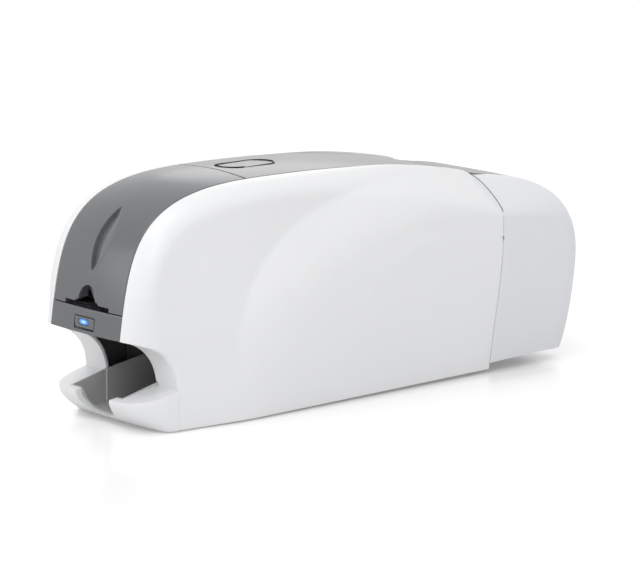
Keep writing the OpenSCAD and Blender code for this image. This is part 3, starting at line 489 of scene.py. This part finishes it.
def filletAt(along):
    # the crease starts sharp under the bezel, rounds off, and is sharp again at the tray
    t = clamp(along / scoopShare)
    return panel["creaseMin"] + panel["fillet"] * math.sin(math.pi * t) ** 1.2


def footAt(a):
    tray, foot = panel["scoopEnd"], panel["footEnd"]
    if a < tray:
        return bezier(scoop, 0.5 + 0.5 * a / tray)
    if a < foot:
        return mix(scoopEnd, seamFoot, (a - tray) / (foot - tray))
    return mix(seamFoot, Vector((rearY, body["footHeight"])), (a - foot) / (1 - foot))


def sidePlace(a, b, shift=True):
    split = panel["turnRows"] / (panel["turnRows"] + panel["flatRows"])
    u = 1.0 if b > split else 1 - math.cos(math.pi / 2 * b / split)
    down = clamp((b - split) / (1 - split))
    soft = smooth((edgeAt(min(2 * a, justBelow(2))).x - panel["softFrom"]) / (rearY - panel["softFrom"]))

    def straight(a):
        # from the band edge across the rounding and straight down to the foot
        along = min(2 * a, justBelow(2))
        e = edgeAt(along)
        e.y += body["panelRise"] * smooth((e.x - panel["riseFrom"]) / panel["riseRun"])
        fall = clamp((e.x - rearY + panel["fallRun"]) / panel["fallRun"]) ** 2
        e.y -= (body["panelRise"] + body["shoulderDrop"]) * fall
        rear = clamp(1 - (1 - a) * panel["rearSquare"])
        inward = mix(-outAt(along), Vector((0, -1)), rear).normalized()
        depth = mix(*panel["turnDepth"], soft)
        return mix(e + inward * depth * u, footAt(a), down)

    front = clamp(1 - a * panel["frontBlend"])
    onScoop = bezier(scoop, panel["scoopTurn"] * u if b <= split else mix(panel["scoopTurn"], 0.5, down))
    p = straight(a) + (onScoop - straight(0)) * front
    # the columns meet the seam at a slant, not along it
    slant = panel["slant"] * down ** panel["slantPower"] * (1 - down)
    fadeFrom, fadeRun = panel["slantFade"]
    p += seamNormal(seamAlong(a)) * (slant * (1 - front) * (1 - smooth((a - fadeFrom) / fadeRun)))
    if shift and p.x < panel["nearFront"]:
        gap, side, along = lineDistance(p, seamLine)
        if gap < panel["reach"]:
            r = filletAt(along) * u
            p = p + seamNormal(along) * r * (1 - gap / panel["reach"])
    w = sideHalf(p)
    if u < 1:
        w = half + (w - half) * turnCurve(u, mix(*panel["turnPower"], soft))
    return w, p


def boundaryPlace(f):
    # f runs down the nose end and then along the scoop to the foot
    if f < noseShare:
        return 0, f / noseShare
    return panel["footEnd"] * (f - noseShare) / (1 - noseShare), 1


def buildPanel(name, sign, node):
    rows = panel["turnRows"] + panel["flatRows"]

    def place(a, b):
        x, p = sidePlace(a, 1 - b)
        return toRow(sign * x, p.x, p.y)

    bm = gridMesh(panel["columns"], rows, place)
    steps = panel["filletSteps"]

    def lipPlace(across, down):
        a, b = boundaryPlace(down)
        x0, start = sidePlace(a, b)
        foot = sidePlace(a, b, shift=False)[1]
        turn = clamp(across * (steps + 1) / steps)
        r = (start - foot).length
        angle = math.pi / 2 * turn
        p = mix(foot, start, 1 - math.sin(angle))
        x = x0 - r * (1 - math.cos(angle))
        if across > 0.999:
            x -= panel["lip"]
        return toRow(sign * x, p.x, p.y)

    joinInto(bm, gridMesh(steps + 1, 150, lipPlace))
    bmesh.ops.remove_doubles(bm, verts=bm.verts[:], dist=0.05 * mm)
    faceTowards(bm, Vector((sign, 0, 0)))
    obj = thicken(toObject(bm, name))
    return addPiece(obj, "chassis", finish["white_shell"], (node,), angle=50)


buildPanel("sidePanelRight", 1, "side_panel_right")
buildPanel("sidePanelLeft", -1, "side_panel_left")
print("side panels shaped")

# Rear module, one surface from the joint over the top and down its rear face
tailShape = {"columns": 110, "turnRows": 14, "flatRows": 34, "middleRows": 20, "cornerHalf": 64,
             "turnDepth": (30, 22), "turnPower": (1.3, 2), "softEnd": 0.55, "endSquare": 20,
             "bandLength": 48, "weld": 0.8}
bandEnd = rearY + tailShape["bandLength"]


def tailPlace(a, b):
    s = min(2 + 2 * a, justBelow(4))
    soft = smooth(a / tailShape["softEnd"])
    e, out = edgeAt(s), outAt(s)
    e.y -= body["shoulderDrop"] * (1 - smooth((e.x - rearY) / body["shoulderRun"]))
    inward = mix(-out, Vector((0, -1)), clamp(1 - a * tailShape["endSquare"]))
    inward = mix(inward, Vector((-1, 0.03)), clamp(1 - (1 - a) * tailShape["endSquare"])).normalized()
    depth, power = mix(*tailShape["turnDepth"], soft), mix(*tailShape["turnPower"], soft)
    reach = mix(half, tailShape["cornerHalf"], soft)
    turned, flat, middle = tailShape["turnRows"], tailShape["flatRows"], tailShape["middleRows"]
    k = abs(b - 0.5) * (2 * (turned + flat) + middle)
    sign = 1 if b > 0.5 else -1
    if k <= middle / 2:
        x = sign * k / (middle / 2)
        p = e + out * (body["rearCrown"] * (1 - x * x))
        return toRow(x * reach, p.x, p.y)
    k -= middle / 2
    if a < 0.5:
        foot = mix(Vector((rearY, rearZ - 50)), Vector((rearY, 9)), a / 0.5)
    else:
        foot = mix(Vector((rearY, 9)), Vector((endY - 52, 10.5)), (a - 0.5) / 0.5)
    if k <= turned:
        u = 1 - math.cos(math.pi / 2 * k / turned)
        p = e + inward * depth * u
        w = body["lowHalf"] + bulgeAt(p.y)
        x = reach + (w - reach) * turnCurve(u, power)
    else:
        p = mix(e + inward * depth, foot, (k - turned) / flat)
        x = body["lowHalf"] + bulgeAt(p.y)
    return toRow(sign * x, max(p.x, rearY + panel["rearGap"]), p.y)


ports = {"half": 52, "low": 24, "high": 50}
tailRows = 2 * (tailShape["turnRows"] + tailShape["flatRows"]) + tailShape["middleRows"]
bm = gridMesh(tailShape["columns"], tailRows, tailPlace)
# the rows that press against the front plane are welded
frontPlane = toRow(0, rearY + panel["rearGap"] + 0.001, 0).y
bmesh.ops.remove_doubles(bm, verts=[v for v in bm.verts if v.co.y < frontPlane], dist=tailShape["weld"] * mm)
faceTowards(bm, Vector((0, 1, 0)))
rearHousing = thicken(toObject(bm, "rearHousing"))
cutWith(rearHousing, roundedBox((-half, rearY - 9, 150), (half, bandEnd, 210), 0.05, 1))
cutWith(rearHousing, roundedBox((-ports["half"], endY - 30, ports["low"]),
                                (ports["half"], endY + 9, ports["high"]), 2))
addPiece(rearHousing, "chassis", finish["rear_shell"], ("rear_housing",), angle=50)

# painted shade: dark strips stand in the upper part of the joint, where the gap to the rear housing lies in
# shade
seamShade = {"width": 0.8, "rise": 0.1, "start": 0.088, "end": 0.198, "back": 0.06, "centreZ": 100, "wall": 0.4}


def seamShadePlace(sign):
    def place(a, b):
        t = 0.5 + sign * mix(seamShade["start"], seamShade["end"], a)
        front, behind = tailPlace(0, t), tailPlace(seamShade["back"], t)
        out = Vector((front.x, 0, front.z - seamShade["centreZ"] * mm)).normalized()
        return front + (behind - front).normalized() * (seamShade["width"] * b * mm) + out * (seamShade["rise"] * mm)
    return place


# dark plastic strips that paint the shade of the joint
for sign, name in ((1, "seamShadeRight"), (-1, "seamShadeLeft")):
    bm = gridMesh(60, 3, seamShadePlace(sign))
    faceTowards(bm, Vector((sign, 0, 1)))
    strip = thicken(toObject(bm, name), seamShade["wall"])
    addPiece(strip, "chassis", finish["dark_plastic"], angle=50)
print("rear housing shaped")


# Covers and the band that they follow
crowd = 1.8  # how much the columns crowd towards an edge


def bandMesh(s0, s1, rows, columns):
    # columns crowd towards the rounded long edges
    def place(a, b):
        t = 2 * a - 1
        x = math.copysign(coverHalf * (1 - (1 - abs(t)) ** crowd), t)
        return bandPlace(mix(s0, s1, b), x, 0, body["rimRadius"])
    return gridMesh(columns, rows, place)


def barrelCutter(hinge, s, y, steps=12, margin=6):
    # a barrel about the hinge that leaves room for the cover in front
    bm = bmesh.new()
    last = None
    for k in range(-steps, steps + 1):
        x = (half + margin) * k / steps
        up = edgeAt(s).y + crownAt(s) * (1 - min(1, abs(x) / half) ** 2) - hinge[1]
        v = bm.verts.new(toRow(x, hinge[0], hinge[1] + math.hypot(up, y - hinge[0])))
        if last:
            bm.edges.new((last, v))
        last = v
    bmesh.ops.spin(bm, geom=bm.verts[:] + bm.edges[:], cent=toRow(0, *hinge), axis=(1, 0, 0), dvec=(0, 0, 0),
                   angle=2 * math.pi, steps=96, use_merge=True, use_duplicate=False)
    bmesh.ops.holes_fill(bm, edges=bm.edges[:], sides=200)
    bmesh.ops.recalc_face_normals(bm, faces=bm.faces[:])
    return bm


crescent = {"x": 0.5, "z": 149, "halfHeight": 24, "left": 5, "right": 12.5, "lean": 0.25,
            "tipHalf": 0.2, "tipEnd": 0.02, "depth": 3.6, "steepness": 2.2, "hollow": 1.15,
            "wallWidth": 0.35, "wallShare": 0.3, "columns": (24, 2, 18, 24)}
slot = {"half": 28.2, "height": 4.2, "step": 13, "slope": 2, "deep": 42,
        "arch": 11, "archHeight": 12, "archLow": 6.4}
hopperHinge = (120, topZ - 9)
topHinge = (rearY - 14, topZ - 34)


def crescentPlace(a, z):
    left, wallSteps, ramp, right = crescent["columns"]
    total = left + wallSteps + ramp + right
    k = a * total
    t = (z - crescent["z"]) / crescent["halfHeight"]
    lens = max(0.0, 1 - t * t)
    x0 = crescent["x"] - crescent["tipHalf"] - crescent["left"] * lens
    x1 = crescent["x"] + crescent["tipHalf"] + crescent["right"] * lens * (1 + crescent["lean"] * t)
    deep = crescent["depth"] * min(1.0, lens * crescent["steepness"]) if lens > crescent["tipEnd"] else 0.0
    wallEnd = x0 + min(crescent["wallWidth"], crescent["wallShare"] * (x1 - x0))
    if k <= left:
        return mix(-coverHalf, x0, (k / left) ** crowd), 0.0
    k -= left
    if k <= wallSteps:
        return mix(x0, wallEnd, k / wallSteps), deep * k / wallSteps
    k -= wallSteps
    if k <= ramp:
        # deep at the left wall, and out to the surface at the right
        return mix(wallEnd, x1, k / ramp), deep * (1 - k / ramp) ** crescent["hollow"]
    return mix(coverHalf, x1, (1 - (k - ramp) / right) ** crowd), 0.0


sLow = findOnEdge(1, body["slotZ"] + body["seamGap"] * 1.6, 0, 1)
sHigh = findOnEdge(0, body["seamY"] - body["seamGap"], 0, 1)


def hopperPlace(a, b):
    s = mix(sLow, sHigh, b)
    e = edgeAt(s)
    x, drop = crescentPlace(a, e.y if e.x < 60 else 999)
    return bandPlace(s, x, drop, body["rimRadius"])


def slotCutter(grow=0.0):
    z, s, m = body["slotZ"], slot["half"] + grow, slot["step"] + grow
    top = z + slot["height"] + grow
    arched, base, slope = slot["arch"] + grow, z + slot["archLow"] + grow, slot["slope"]
    outline = [(-s, z - 4), (s, z - 4), (s, top), (m + slope, top), (m, base), (arched, base)]
    for k in range(1, 20):
        angle = math.pi * k / 20
        outline.append((arched * math.cos(angle), base + slot["archHeight"] * math.sin(angle)))
    outline += [(-arched, base), (-m, base), (-m - slope, top), (-s, top)]
    return outlinePrism(outline, lambda x, h: toRow(x, -10, h), Vector((0, slot["deep"] * mm, 0)))


bm = gridMesh(sum(crescent["columns"]), 180, hopperPlace)
faceTowards(bm, Vector((0, -1, 1)))
hopperCover = thicken(toObject(bm, "hopperCover"))
cutWith(hopperCover, slotCutter())
addPiece(hopperCover, "hopper_lid", finish["grey_shell"], ("hopper_cover",), angle=40)

# the card guide behind the slot, without the block that the finger recess replaces
bm = bmesh.new()
bm.from_mesh(frame["nodes"]["cover_inserts"].data)
bmesh.ops.remove_doubles(bm, verts=bm.verts[:], dist=1e-6)
bmesh.ops.delete(bm, geom=[v for v in bm.verts if v.co.z > 120 * mm], context="VERTS")
slotGuide = cutWith(toObject(bm, "slotGuide"), slotCutter(0.3))
addPiece(slotGuide, "hopper_lid", finish["dark_plastic"], ("cover_inserts",))

thumb = {"left": -0.5, "deep": 4.2, "low": 6.6, "wall": 0.8, "overlap": 0.1, "sunk": 0.15,
         "topWidth": 0.8, "leastWidth": 0.6, "sweep": 1.8, "hollow": 1.2}


def thumbPlace(a, b):
    # hollow that runs from the right side of the arch to the dark opening at its left
    rise = thumb["low"] + (slot["archHeight"] + slot["archLow"] - thumb["low"]) * (1 - (1 - b) ** 1.5)
    over = max(0.0, (rise - slot["archLow"]) / slot["archHeight"])
    right = slot["arch"] * math.sqrt(max(0.0, 1 - over * over)) + thumb["overlap"]
    left = mix(right - thumb["topWidth"], min(thumb["left"], right - thumb["leastWidth"]),
               smooth(b * thumb["sweep"]))
    x = mix(left, right, a)
    s = findOnEdge(1, body["slotZ"] + rise, 0, 1)
    depth = thumb["sunk"] + thumb["deep"] * ((right - x) / (slot["arch"] - thumb["left"])) ** thumb["hollow"]
    return toRow(x, edgeAt(s).x - crownAt(s) * (1 - (x / half) ** 2) + depth, body["slotZ"] + rise)


bm = gridMesh(20, 16, thumbPlace)
bmesh.ops.remove_doubles(bm, verts=bm.verts[:], dist=0.02 * mm)
faceTowards(bm, Vector((0, -1, 0)))
thumbHollow = thicken(toObject(bm, "thumbHollow"), thumb["wall"])
addPiece(thumbHollow, "hopper_lid", finish["grey_shell"], angle=40)
print("hopper cover shaped")

# Release button: run is half the length of its straight sides, cut moves its open corner
release = {"y": body["seamY"] + 36, "half": 14.5, "run": 13, "cut": 6.5, "skirt": 11,
           "sunk": 0.9, "front": 0.5, "rear": 0.2, "dishPower": 1.4, "dishEdge": 0.35,
           "gap": 0.4, "inset": 0.3, "play": 0.15, "shadeRingOut": 0.45, "shadeRingIn": 0.12, "shadeRingSunk": 0.25,
           "shadeLipDrop": 0.55, "lip": 0.8, "shadeLipEnd": body["seamY"] + 28.5, "shadeFloorDrop": 2}


def buttonOutline(grow, shift=0, steps=24):
    # two half rounds joined by straight sides; shift slides it away from the open corner
    r, run, points = release["half"] + grow, release["run"], []
    for k in range(2 * steps):
        angle = math.pi * (k + 0.5) / steps
        y = release["y"] + shift + r * math.sin(angle) + (run if math.sin(angle) > 0 else -run)
        points.append((r * math.cos(angle) - shift, y))
    return points


bm = bandMesh(findOnEdge(0, body["seamY"] + body["seamGap"] / 2, 0, 1),
              findOnEdge(0, rearY - body["seamGap"], 1, 2), 150, 48)
faceTowards(bm, Vector((0, 0, 1)))
topCover = thicken(toObject(bm, "topCover"))
cutWith(topCover, barrelCutter(hopperHinge, sHigh, body["seamY"] + body["seamGap"]))
cutWith(topCover, uprightPrism(buttonOutline(release["gap"]), topZ - 20, 40))
softenEdges(topCover, 0.3)
addPiece(topCover, "top_lid", finish["grey_shell"], ("top_cover",), angle=40)


def buttonTop(x, y):
    # a dish that is deepest at the front end
    run = release["half"] + release["run"]
    v = clamp((y - release["y"] + run) / (2 * run))
    across = 1 - (x / release["half"]) ** 2
    dish = release["rear"] + release["front"] * (1 - v) ** release["dishPower"]
    return topZ + body["crown"] - release["sunk"] - dish * clamp(across + release["dishEdge"])


def buttonRim(count=120):
    # the outline that is left where the open corner is taken off
    points = []
    for k in range(count):
        angle = 2 * math.pi * (k + 0.5) / count
        near, far = 0, 60
        for _ in range(24):
            r = (near + far) / 2
            x, y = r * math.cos(angle) - release["cut"] / 2, r * math.sin(angle) + release["cut"] / 2
            inside = all(math.hypot(u, max(0, abs(v) - release["run"])) < release["half"]
                         for u, v in ((x, y), (x + release["cut"], y - release["cut"])))
            near, far = (r, far) if inside else (near, r)
        points.append((x, release["y"] + y))
    return points


buttonEdge = buttonRim()


def buttonPlace(a, b):
    x, y = buttonEdge[round(a * len(buttonEdge)) % len(buttonEdge)]
    x, y = mix(x, -release["cut"] / 2, b), mix(y, release["y"] + release["cut"] / 2, b)
    return toRow(x, y, buttonTop(x, y))


bm = gridMesh(len(buttonEdge), 16, buttonPlace)
bmesh.ops.remove_doubles(bm, verts=bm.verts[:], dist=1e-6)
skirt = bmesh.ops.extrude_edge_only(bm, edges=[e for e in bm.edges if e.is_boundary])["geom"]
for v in [g for g in skirt if isinstance(g, bmesh.types.BMVert)]:
    v.co.z = (topZ - release["skirt"]) * mm
bmesh.ops.holes_fill(bm, edges=bm.edges[:], sides=200)
bmesh.ops.recalc_face_normals(bm, faces=bm.faces[:])
releaseButton = toObject(bm, "releaseButton")
softenEdges(releaseButton, 0.5, 3)
addPiece(releaseButton, "release_button", finish["grey_shell"], ("release_button",), angle=50)

# painted shade: a dark lip and floor stand in the open corner, where a finger pushes, as the shade inside the
# recess
shadeLow = topZ - 10
corner = uprightPrism(buttonOutline(release["lip"], release["cut"]), shadeLow,
                      10 + body["crown"] - release["shadeLipDrop"])
gripShadeLip = cutWith(toObject(corner, "gripShadeLip"),
                  uprightPrism(buttonOutline(release["play"], release["cut"]), topZ - 30, 60))
cutWith(gripShadeLip, uprightPrism(buttonOutline(-release["inset"]), topZ - 30, 60), "INTERSECT")
cutWith(gripShadeLip, roundedBox((-30, release["shadeLipEnd"], 100), (30, release["y"] + 60, 220), 0.05, 1))
addPiece(gripShadeLip, "release_button", finish["dark_plastic"], angle=40)
# painted shade: the dark floor under the open corner
corner = uprightPrism(buttonOutline(-release["inset"]), shadeLow, 10 - release["shadeFloorDrop"])
gripShadeFloor = cutWith(toObject(corner, "gripShadeFloor"),
                    uprightPrism(buttonOutline(release["play"], release["cut"]), topZ - 30, 60))
addPiece(gripShadeFloor, "release_button", finish["dark_plastic"], angle=40)

# painted shade: a dark ring along the opening that the button sits in, on the far side only, where the gap's
# wall lies in shade
bm = uprightPrism(buttonOutline(release["shadeRingOut"]), topZ - 4, 2)
for v in bm.verts:
    if v.co.z > (topZ - 3) * mm:
        v.co.z = (topZ + body["crown"] * (1 - (v.co.x / mm / half) ** 2) - release["shadeRingSunk"]) * mm
openingShadeRing = cutWith(toObject(bm, "openingShadeRing"),
                      uprightPrism(buttonOutline(release["shadeRingIn"]), topZ - 30, 60))
cutWith(openingShadeRing, roundedBox((4, 100, 100), (60, 260, 220), 0.05, 1))
addPiece(openingShadeRing, "top_lid", finish["dark_plastic"], angle=40)

bm = bandMesh(2.001, findOnEdge(0, bandEnd + 1, 2, 3), 50, 48)
faceTowards(bm, Vector((0, 0, 1)))
rearBand = thicken(toObject(bm, "rearBand"))
cutWith(rearBand, barrelCutter(topHinge, 1.999, rearY + body["seamGap"]))
cutWith(rearBand, roundedBox((-half - 1, bandEnd - 0.2, 100), (half + 1, bandEnd + 20, 210), 0.05, 1))
addPiece(rearBand, "chassis", finish["grey_shell"], ("rear_band",), angle=40)
print("top covers shaped")

# Front bezel and status button
status = {"half": 12.2, "low": bezelZ + 3.4, "height": 9.2, "depth": 8, "round": 1.1,
          "gap": 1.0, "narrowGap": 0.8, "corner": 1.6,
          "lens": (-7.2, 5.8), "lensLow": bezelZ + 6.3, "lensHigh": bezelZ + 11.3,
          "lensDepth": 6, "play": 0.1}
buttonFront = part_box("led_button")[0].y / mm + body["length"] / 2


def bezelPlace(a, b):
    s = mix(0, findOnEdge(1, body["slotZ"], 0, 1), b)
    x = mix(0.05 - half, half - 0.05, a)
    e = edgeAt(s)
    return toRow(x, e.x - crownAt(s) * (1 - (x / half) ** 2), e.y)


bm = gridMesh(60, 14, bezelPlace)
faceTowards(bm, Vector((0, -1, 0)))
frontBezel = thicken(toObject(bm, "frontBezel"))
hole = ((-status["half"] - status["narrowGap"], -6, status["low"] - status["gap"]),
        (status["half"] + status["gap"], 12, status["low"] + status["height"] + status["narrowGap"]))
cutWith(frontBezel, roundedBox(*hole, status["corner"]))
softenEdges(frontBezel, 0.3)
addPiece(frontBezel, "chassis", finish["grey_shell"], ("front_bezel",), angle=40)

buttonBox = ((-status["half"], buttonFront, status["low"]),
             (status["half"], buttonFront + status["depth"], status["low"] + status["height"]))
ledButton = toObject(roundedBox(*buttonBox, status["round"], 4), "ledButton")
left, right = status["lens"]
lensBack = buttonFront + status["lensDepth"]
cutWith(ledButton, roundedBox((left, buttonFront - 5, status["lensLow"]),
                              (right, lensBack, status["lensHigh"]), 0.8))
addPiece(ledButton, "status_button", finish["grey_shell"], ("led_button",), angle=40)
play = status["play"]
lens = toObject(roundedBox((left + play, buttonFront + play, status["lensLow"] + play),
                           (right - play, lensBack - play, status["lensHigh"] - play), 0.7), "ledWindow")
addPiece(lens, "status_button", finish["blue_lens"], ("led_window",), angle=40)
print("bezel and status button shaped")

# Scooped front frame, cut clear of the liner
chuteHalf = 32.5
liner = {"room": 1.65, "high": 36.3, "front": 40, "rear": 60}


def framePlace(sign):
    def place(a, b):
        f = b * (noseShare + (1 - noseShare) * panel["scoopEnd"] / panel["footEnd"])
        start, down = boundaryPlace(f)
        x0, shifted = sidePlace(start, down)
        foot = sidePlace(start, down, shift=False)[1]
        outer = max(chuteHalf + 2, x0 - (shifted - foot).length - panel["lip"])
        return toRow(sign * mix(outer, chuteHalf, a), foot.x, foot.y)
    return place


bm = bmesh.new()
for sign in (1, -1):
    wing = gridMesh(20, 80, framePlace(sign))
    faceTowards(wing, Vector((0, -1, -1)))
    joinInto(bm, wing)
frontFrame = thicken(toObject(bm, "frontFrame"))
cutWith(frontFrame, roundedBox((-chuteHalf - liner["room"], liner["front"], 0),
                               (chuteHalf + liner["room"], liner["rear"], liner["high"]), 0.1, 1))
softenEdges(frontFrame, 0.35)
addPiece(frontFrame, "chassis", finish["white_shell"], ("front_frame",), angle=40)
print("front frame shaped")

# Output tray: the outlines at its rim and at its foot are for the right half, from the notch to the side
tray = {"frontY": 6, "rearY": 48.3, "tip": 26.2, "rim": 33.6, "rimPower": 1.6, "steps": 14,
        "bowPower": 0.9, "footFrom": 27, "footRun": 12, "notchLeft": 0.75}
topLine = [(26, 6), (41, 7.5), (50, 13), (57, 22), (61, 35), (61, 48.3)]
lowLine = [(30, 27), (42, 29), (51, 32.5), (57, 38), (60.3, 43.5), (61, 48.3)]


def trayTop(y):
    back = clamp((y - tray["frontY"]) / (tray["rearY"] - tray["frontY"]))
    return tray["tip"] + (tray["rim"] - tray["tip"]) * back ** tray["rimPower"]


def splinePoint(line, t):
    # smooth chain through the outline's corners
    k = min(len(line) - 2, int(t * (len(line) - 1)))
    u = t * (len(line) - 1) - k
    p = [Vector(line[clamp(i, 0, len(line) - 1)]) for i in (k - 1, k, k + 1, k + 2)]
    return 0.5 * ((p[1] * 2) + (p[2] - p[0]) * u + (p[0] * 2 - p[1] * 5 + p[2] * 4 - p[3]) * u * u +
                  (p[1] * 3 - p[0] - p[2] * 3 + p[3]) * u ** 3)


def trayRing(h):
    # closed outline at a fraction of the tray's height
    bow = math.sin(h * math.pi / 2) ** tray["bowPower"]
    side = [mix(splinePoint(lowLine, k / 30), splinePoint(topLine, k / 30), bow) for k in range(31)]
    return [(x, y) for x, y in side] + [(-x, y) for x, y in reversed(side)]


bm = bmesh.new()
previous = None
for level in range(tray["steps"] + 1):
    h = level / tray["steps"]
    ring = []
    for x, y in trayRing(h):
        lowered = smooth((y - tray["footFrom"]) / tray["footRun"])
        low = mix(body["footHeight"], body["frontFoot"], lowered)
        ring.append(bm.verts.new(toRow(x, y, mix(low, trayTop(y), h))))
    edges = [bm.edges.new((ring[k], ring[k - 1])) for k in range(len(ring))]
    if previous:
        bmesh.ops.bridge_loops(bm, edges=edges + previous)
    else:
        bm.faces.new(ring)
    previous = edges
bmesh.ops.contextual_create(bm, geom=previous)
bmesh.ops.triangulate(bm, faces=[f for f in bm.faces if len(f.verts) > 4])
bmesh.ops.recalc_face_normals(bm, faces=bm.faces[:])
outputTray = toObject(bm, "outputTray")
slopeEnd = body["footHeight"] + 3.8
slopeCut = [(12, 60), (12, 26), (13, 22), (16, 17), (20, 11.5), (25.5, slopeEnd), (60, slopeEnd), (60, 60)]
cutWith(outputTray, outlinePrism(slopeCut, lambda y, z: toRow(-chuteHalf - 1.7, y, z),
                                 Vector((2 * (chuteHalf + 1.7) * mm, 0, 0))))


def notchOutline():
    # wider at the right than at the left
    shoulder = curve((31.5, 29.4), (27.6, 29.0), (25.2, 27.2), (24.4, 24.2))
    sweep = curve((24.4, 24.2), (23.6, 15), (21, 9.2), (6, body["footHeight"] + 5.4))
    rise = [(31.5, 40)] + [tuple(bezier(shoulder, k / 6)) for k in range(6)]
    rise += [tuple(bezier(sweep, k / 12)) for k in range(13)]
    return rise + [(-x * tray["notchLeft"], z) for x, z in reversed(rise)]


cutWith(outputTray, outlinePrism(notchOutline(), lambda x, z: toRow(x, -10, z), Vector((0, 40 * mm, 0))))
softenEdges(outputTray, 0.9, 4, 30)
addPiece(outputTray, "chassis", finish["white_shell"], ("output_tray",), angle=32)

lining = {"half": chuteHalf + 1.6, "wall": 1.6, "end": 100}
outer = [(12.1, 27.4), (12.1, 26), (16.1, 17.1), (20.1, 11.6), (25.6, body["footHeight"] + 3.9),
         (lining["end"], body["footHeight"] + 3.9), (lining["end"], 43), (88, 42), (47.9, 35.6)]
inner = [(13.7, 60), (13.7, 26.5), (17.5, 18), (21.3, 12.8), (26.4, body["footHeight"] + 5.4),
         (lining["end"] + 1, body["footHeight"] + 5.4), (lining["end"] + 1, 60)]
trayLiner = toObject(outlinePrism(outer, lambda y, z: toRow(-lining["half"], y, z),
                                  Vector((2 * lining["half"] * mm, 0, 0))), "trayLiner")
cutWith(trayLiner, outlinePrism(inner, lambda y, z: toRow(lining["wall"] - lining["half"], y, z),
                                Vector((2 * (lining["half"] - lining["wall"]) * mm, 0, 0))))
cutWith(trayLiner, outlinePrism(notchOutline(), lambda x, z: toRow(x, -10, z), Vector((0, 40 * mm, 0))))
softenEdges(trayLiner, 0.5, 3, 30)
addPiece(trayLiner, "chassis", finish["tray_grey"], ("tray_liner",), angle=32)
# painted highlight: white strips stand out from the liner walls at the rear of the tray, as the light caught
# by the liner's upright edge
edgeHighlight = {"y": 47.4, "width": 1.3, "stand": 0.35, "top": 35.4}
for sign in (1, -1):
    wall = sign * (lining["half"] - lining["wall"])
    low = (min(wall, wall - sign * edgeHighlight["stand"]) - 0.1, edgeHighlight["y"], body["footHeight"] + 5.5)
    high = (max(wall, wall - sign * edgeHighlight["stand"]) + 0.1, edgeHighlight["y"] + edgeHighlight["width"], edgeHighlight["top"])
    strip = toObject(roundedBox(low, high, 0.12, 2), "trayEdgeHighlight")
    addPiece(strip, "chassis", finish["white_shell"])
print("tray shaped")

# Floor, light and camera
studio = {"floor": 0.86, "floorGlow": 0.2, "world": 0.8,
          "key": 9.8, "side": 3.6, "front": 4.0, "strip": 2.0, "corner": 8.0}
bm = bmesh.new()
bmesh.ops.create_grid(bm, x_segments=1, y_segments=1, size=6)
floor = toObject(bm, "floor")
pale, nodes, links, shader = startMaterial("paleFloor")
shader.inputs["Base Color"].default_value = [studio["floor"]] * 3 + [1]
shader.inputs["Roughness"].default_value = 0.22
shader.inputs["Specular IOR Level"].default_value = 0.35
path = nodes.new("ShaderNodeLightPath")
seen = nodes.new("ShaderNodeMath")
seen.operation = "MULTIPLY"
seen.inputs[1].default_value = studio["floorGlow"]
shader.inputs["Emission Color"].default_value = (1, 1, 1, 1)
links.new(path.outputs["Is Camera Ray"], seen.inputs[0])
links.new(seen.outputs["Value"], shader.inputs["Emission Strength"])
floor.data.materials.append(pale)

world = bpy.data.worlds.new("studio")
bpy.context.scene.world = world
world.use_nodes = True
nodes, links = world.node_tree.nodes, world.node_tree.links
back = nodes["Background"]
back.inputs["Color"].default_value = (1, 1, 1, 1)
path = nodes.new("ShaderNodeLightPath")
glossy = nodes.new("ShaderNodeMath")
glossy.operation = "MAXIMUM"
glass = nodes.new("ShaderNodeMath")
glass.operation = "MAXIMUM"
level = nodes.new("ShaderNodeMapRange")
level.inputs["To Min"].default_value = studio["world"]
level.inputs["To Max"].default_value = 1.0
links.new(path.outputs["Is Camera Ray"], glossy.inputs[0])
links.new(path.outputs["Is Glossy Ray"], glossy.inputs[1])
links.new(glossy.outputs["Value"], glass.inputs[0])
links.new(path.outputs["Is Transmission Ray"], glass.inputs[1])
links.new(glass.outputs["Value"], level.inputs["Value"])
links.new(level.outputs["Result"], back.inputs["Strength"])


def areaLight(name, place, target, size, power):
    lamp = bpy.data.lights.new(name, "AREA")
    lamp.shape = "DISK"
    lamp.size = size
    lamp.energy = power
    obj = bpy.data.objects.new(name, lamp)
    obj.location = place
    obj.rotation_euler = (Vector(target) - Vector(place)).to_track_quat("-Z", "Y").to_euler()
    bpy.context.scene.collection.objects.link(obj)


areaLight("topSoftbox", (-0.2, -0.9, 2.0), (0, 0, 0.1), 1.6, studio["key"])
areaLight("sideSoftbox", (2.4, -0.4, 0.8), (0, 0, 0.05), 1.4, studio["side"])
areaLight("frontSoftbox", (-1.3, -2.1, 0.8), (0, -0.2, 0.08), 1.2, studio["front"])
areaLight("cornerSoftbox", (1.3, -1.6, 1.5), (0, -0.2, 0.03), 1.0, studio["corner"])
areaLight("backStrip", (-1.96, 1.7, 1.1), (0, -0.1, 0.19), 0.9, studio["strip"])

shot = {"azimuth": 49.07, "elevation": 11.48, "place": (2.202, -1.901, 0.676), "lens": 200.1}
camera = bpy.data.cameras.new("camera")
camera.lens = shot["lens"]
camera.sensor_width = 36
camera.clip_end = 50
eye = bpy.data.objects.new("camera", camera)
azimuth, elevation = math.radians(shot["azimuth"]), math.radians(shot["elevation"])
look = Vector((-math.sin(azimuth) * math.cos(elevation), math.cos(azimuth) * math.cos(elevation),
               -math.sin(elevation)))
eye.location = shot["place"]
eye.rotation_euler = look.to_track_quat("-Z", "Y").to_euler()
bpy.context.scene.collection.objects.link(eye)
bpy.context.scene.camera = eye
bpy.context.scene.view_settings.view_transform = "Standard"
print("studio ready")
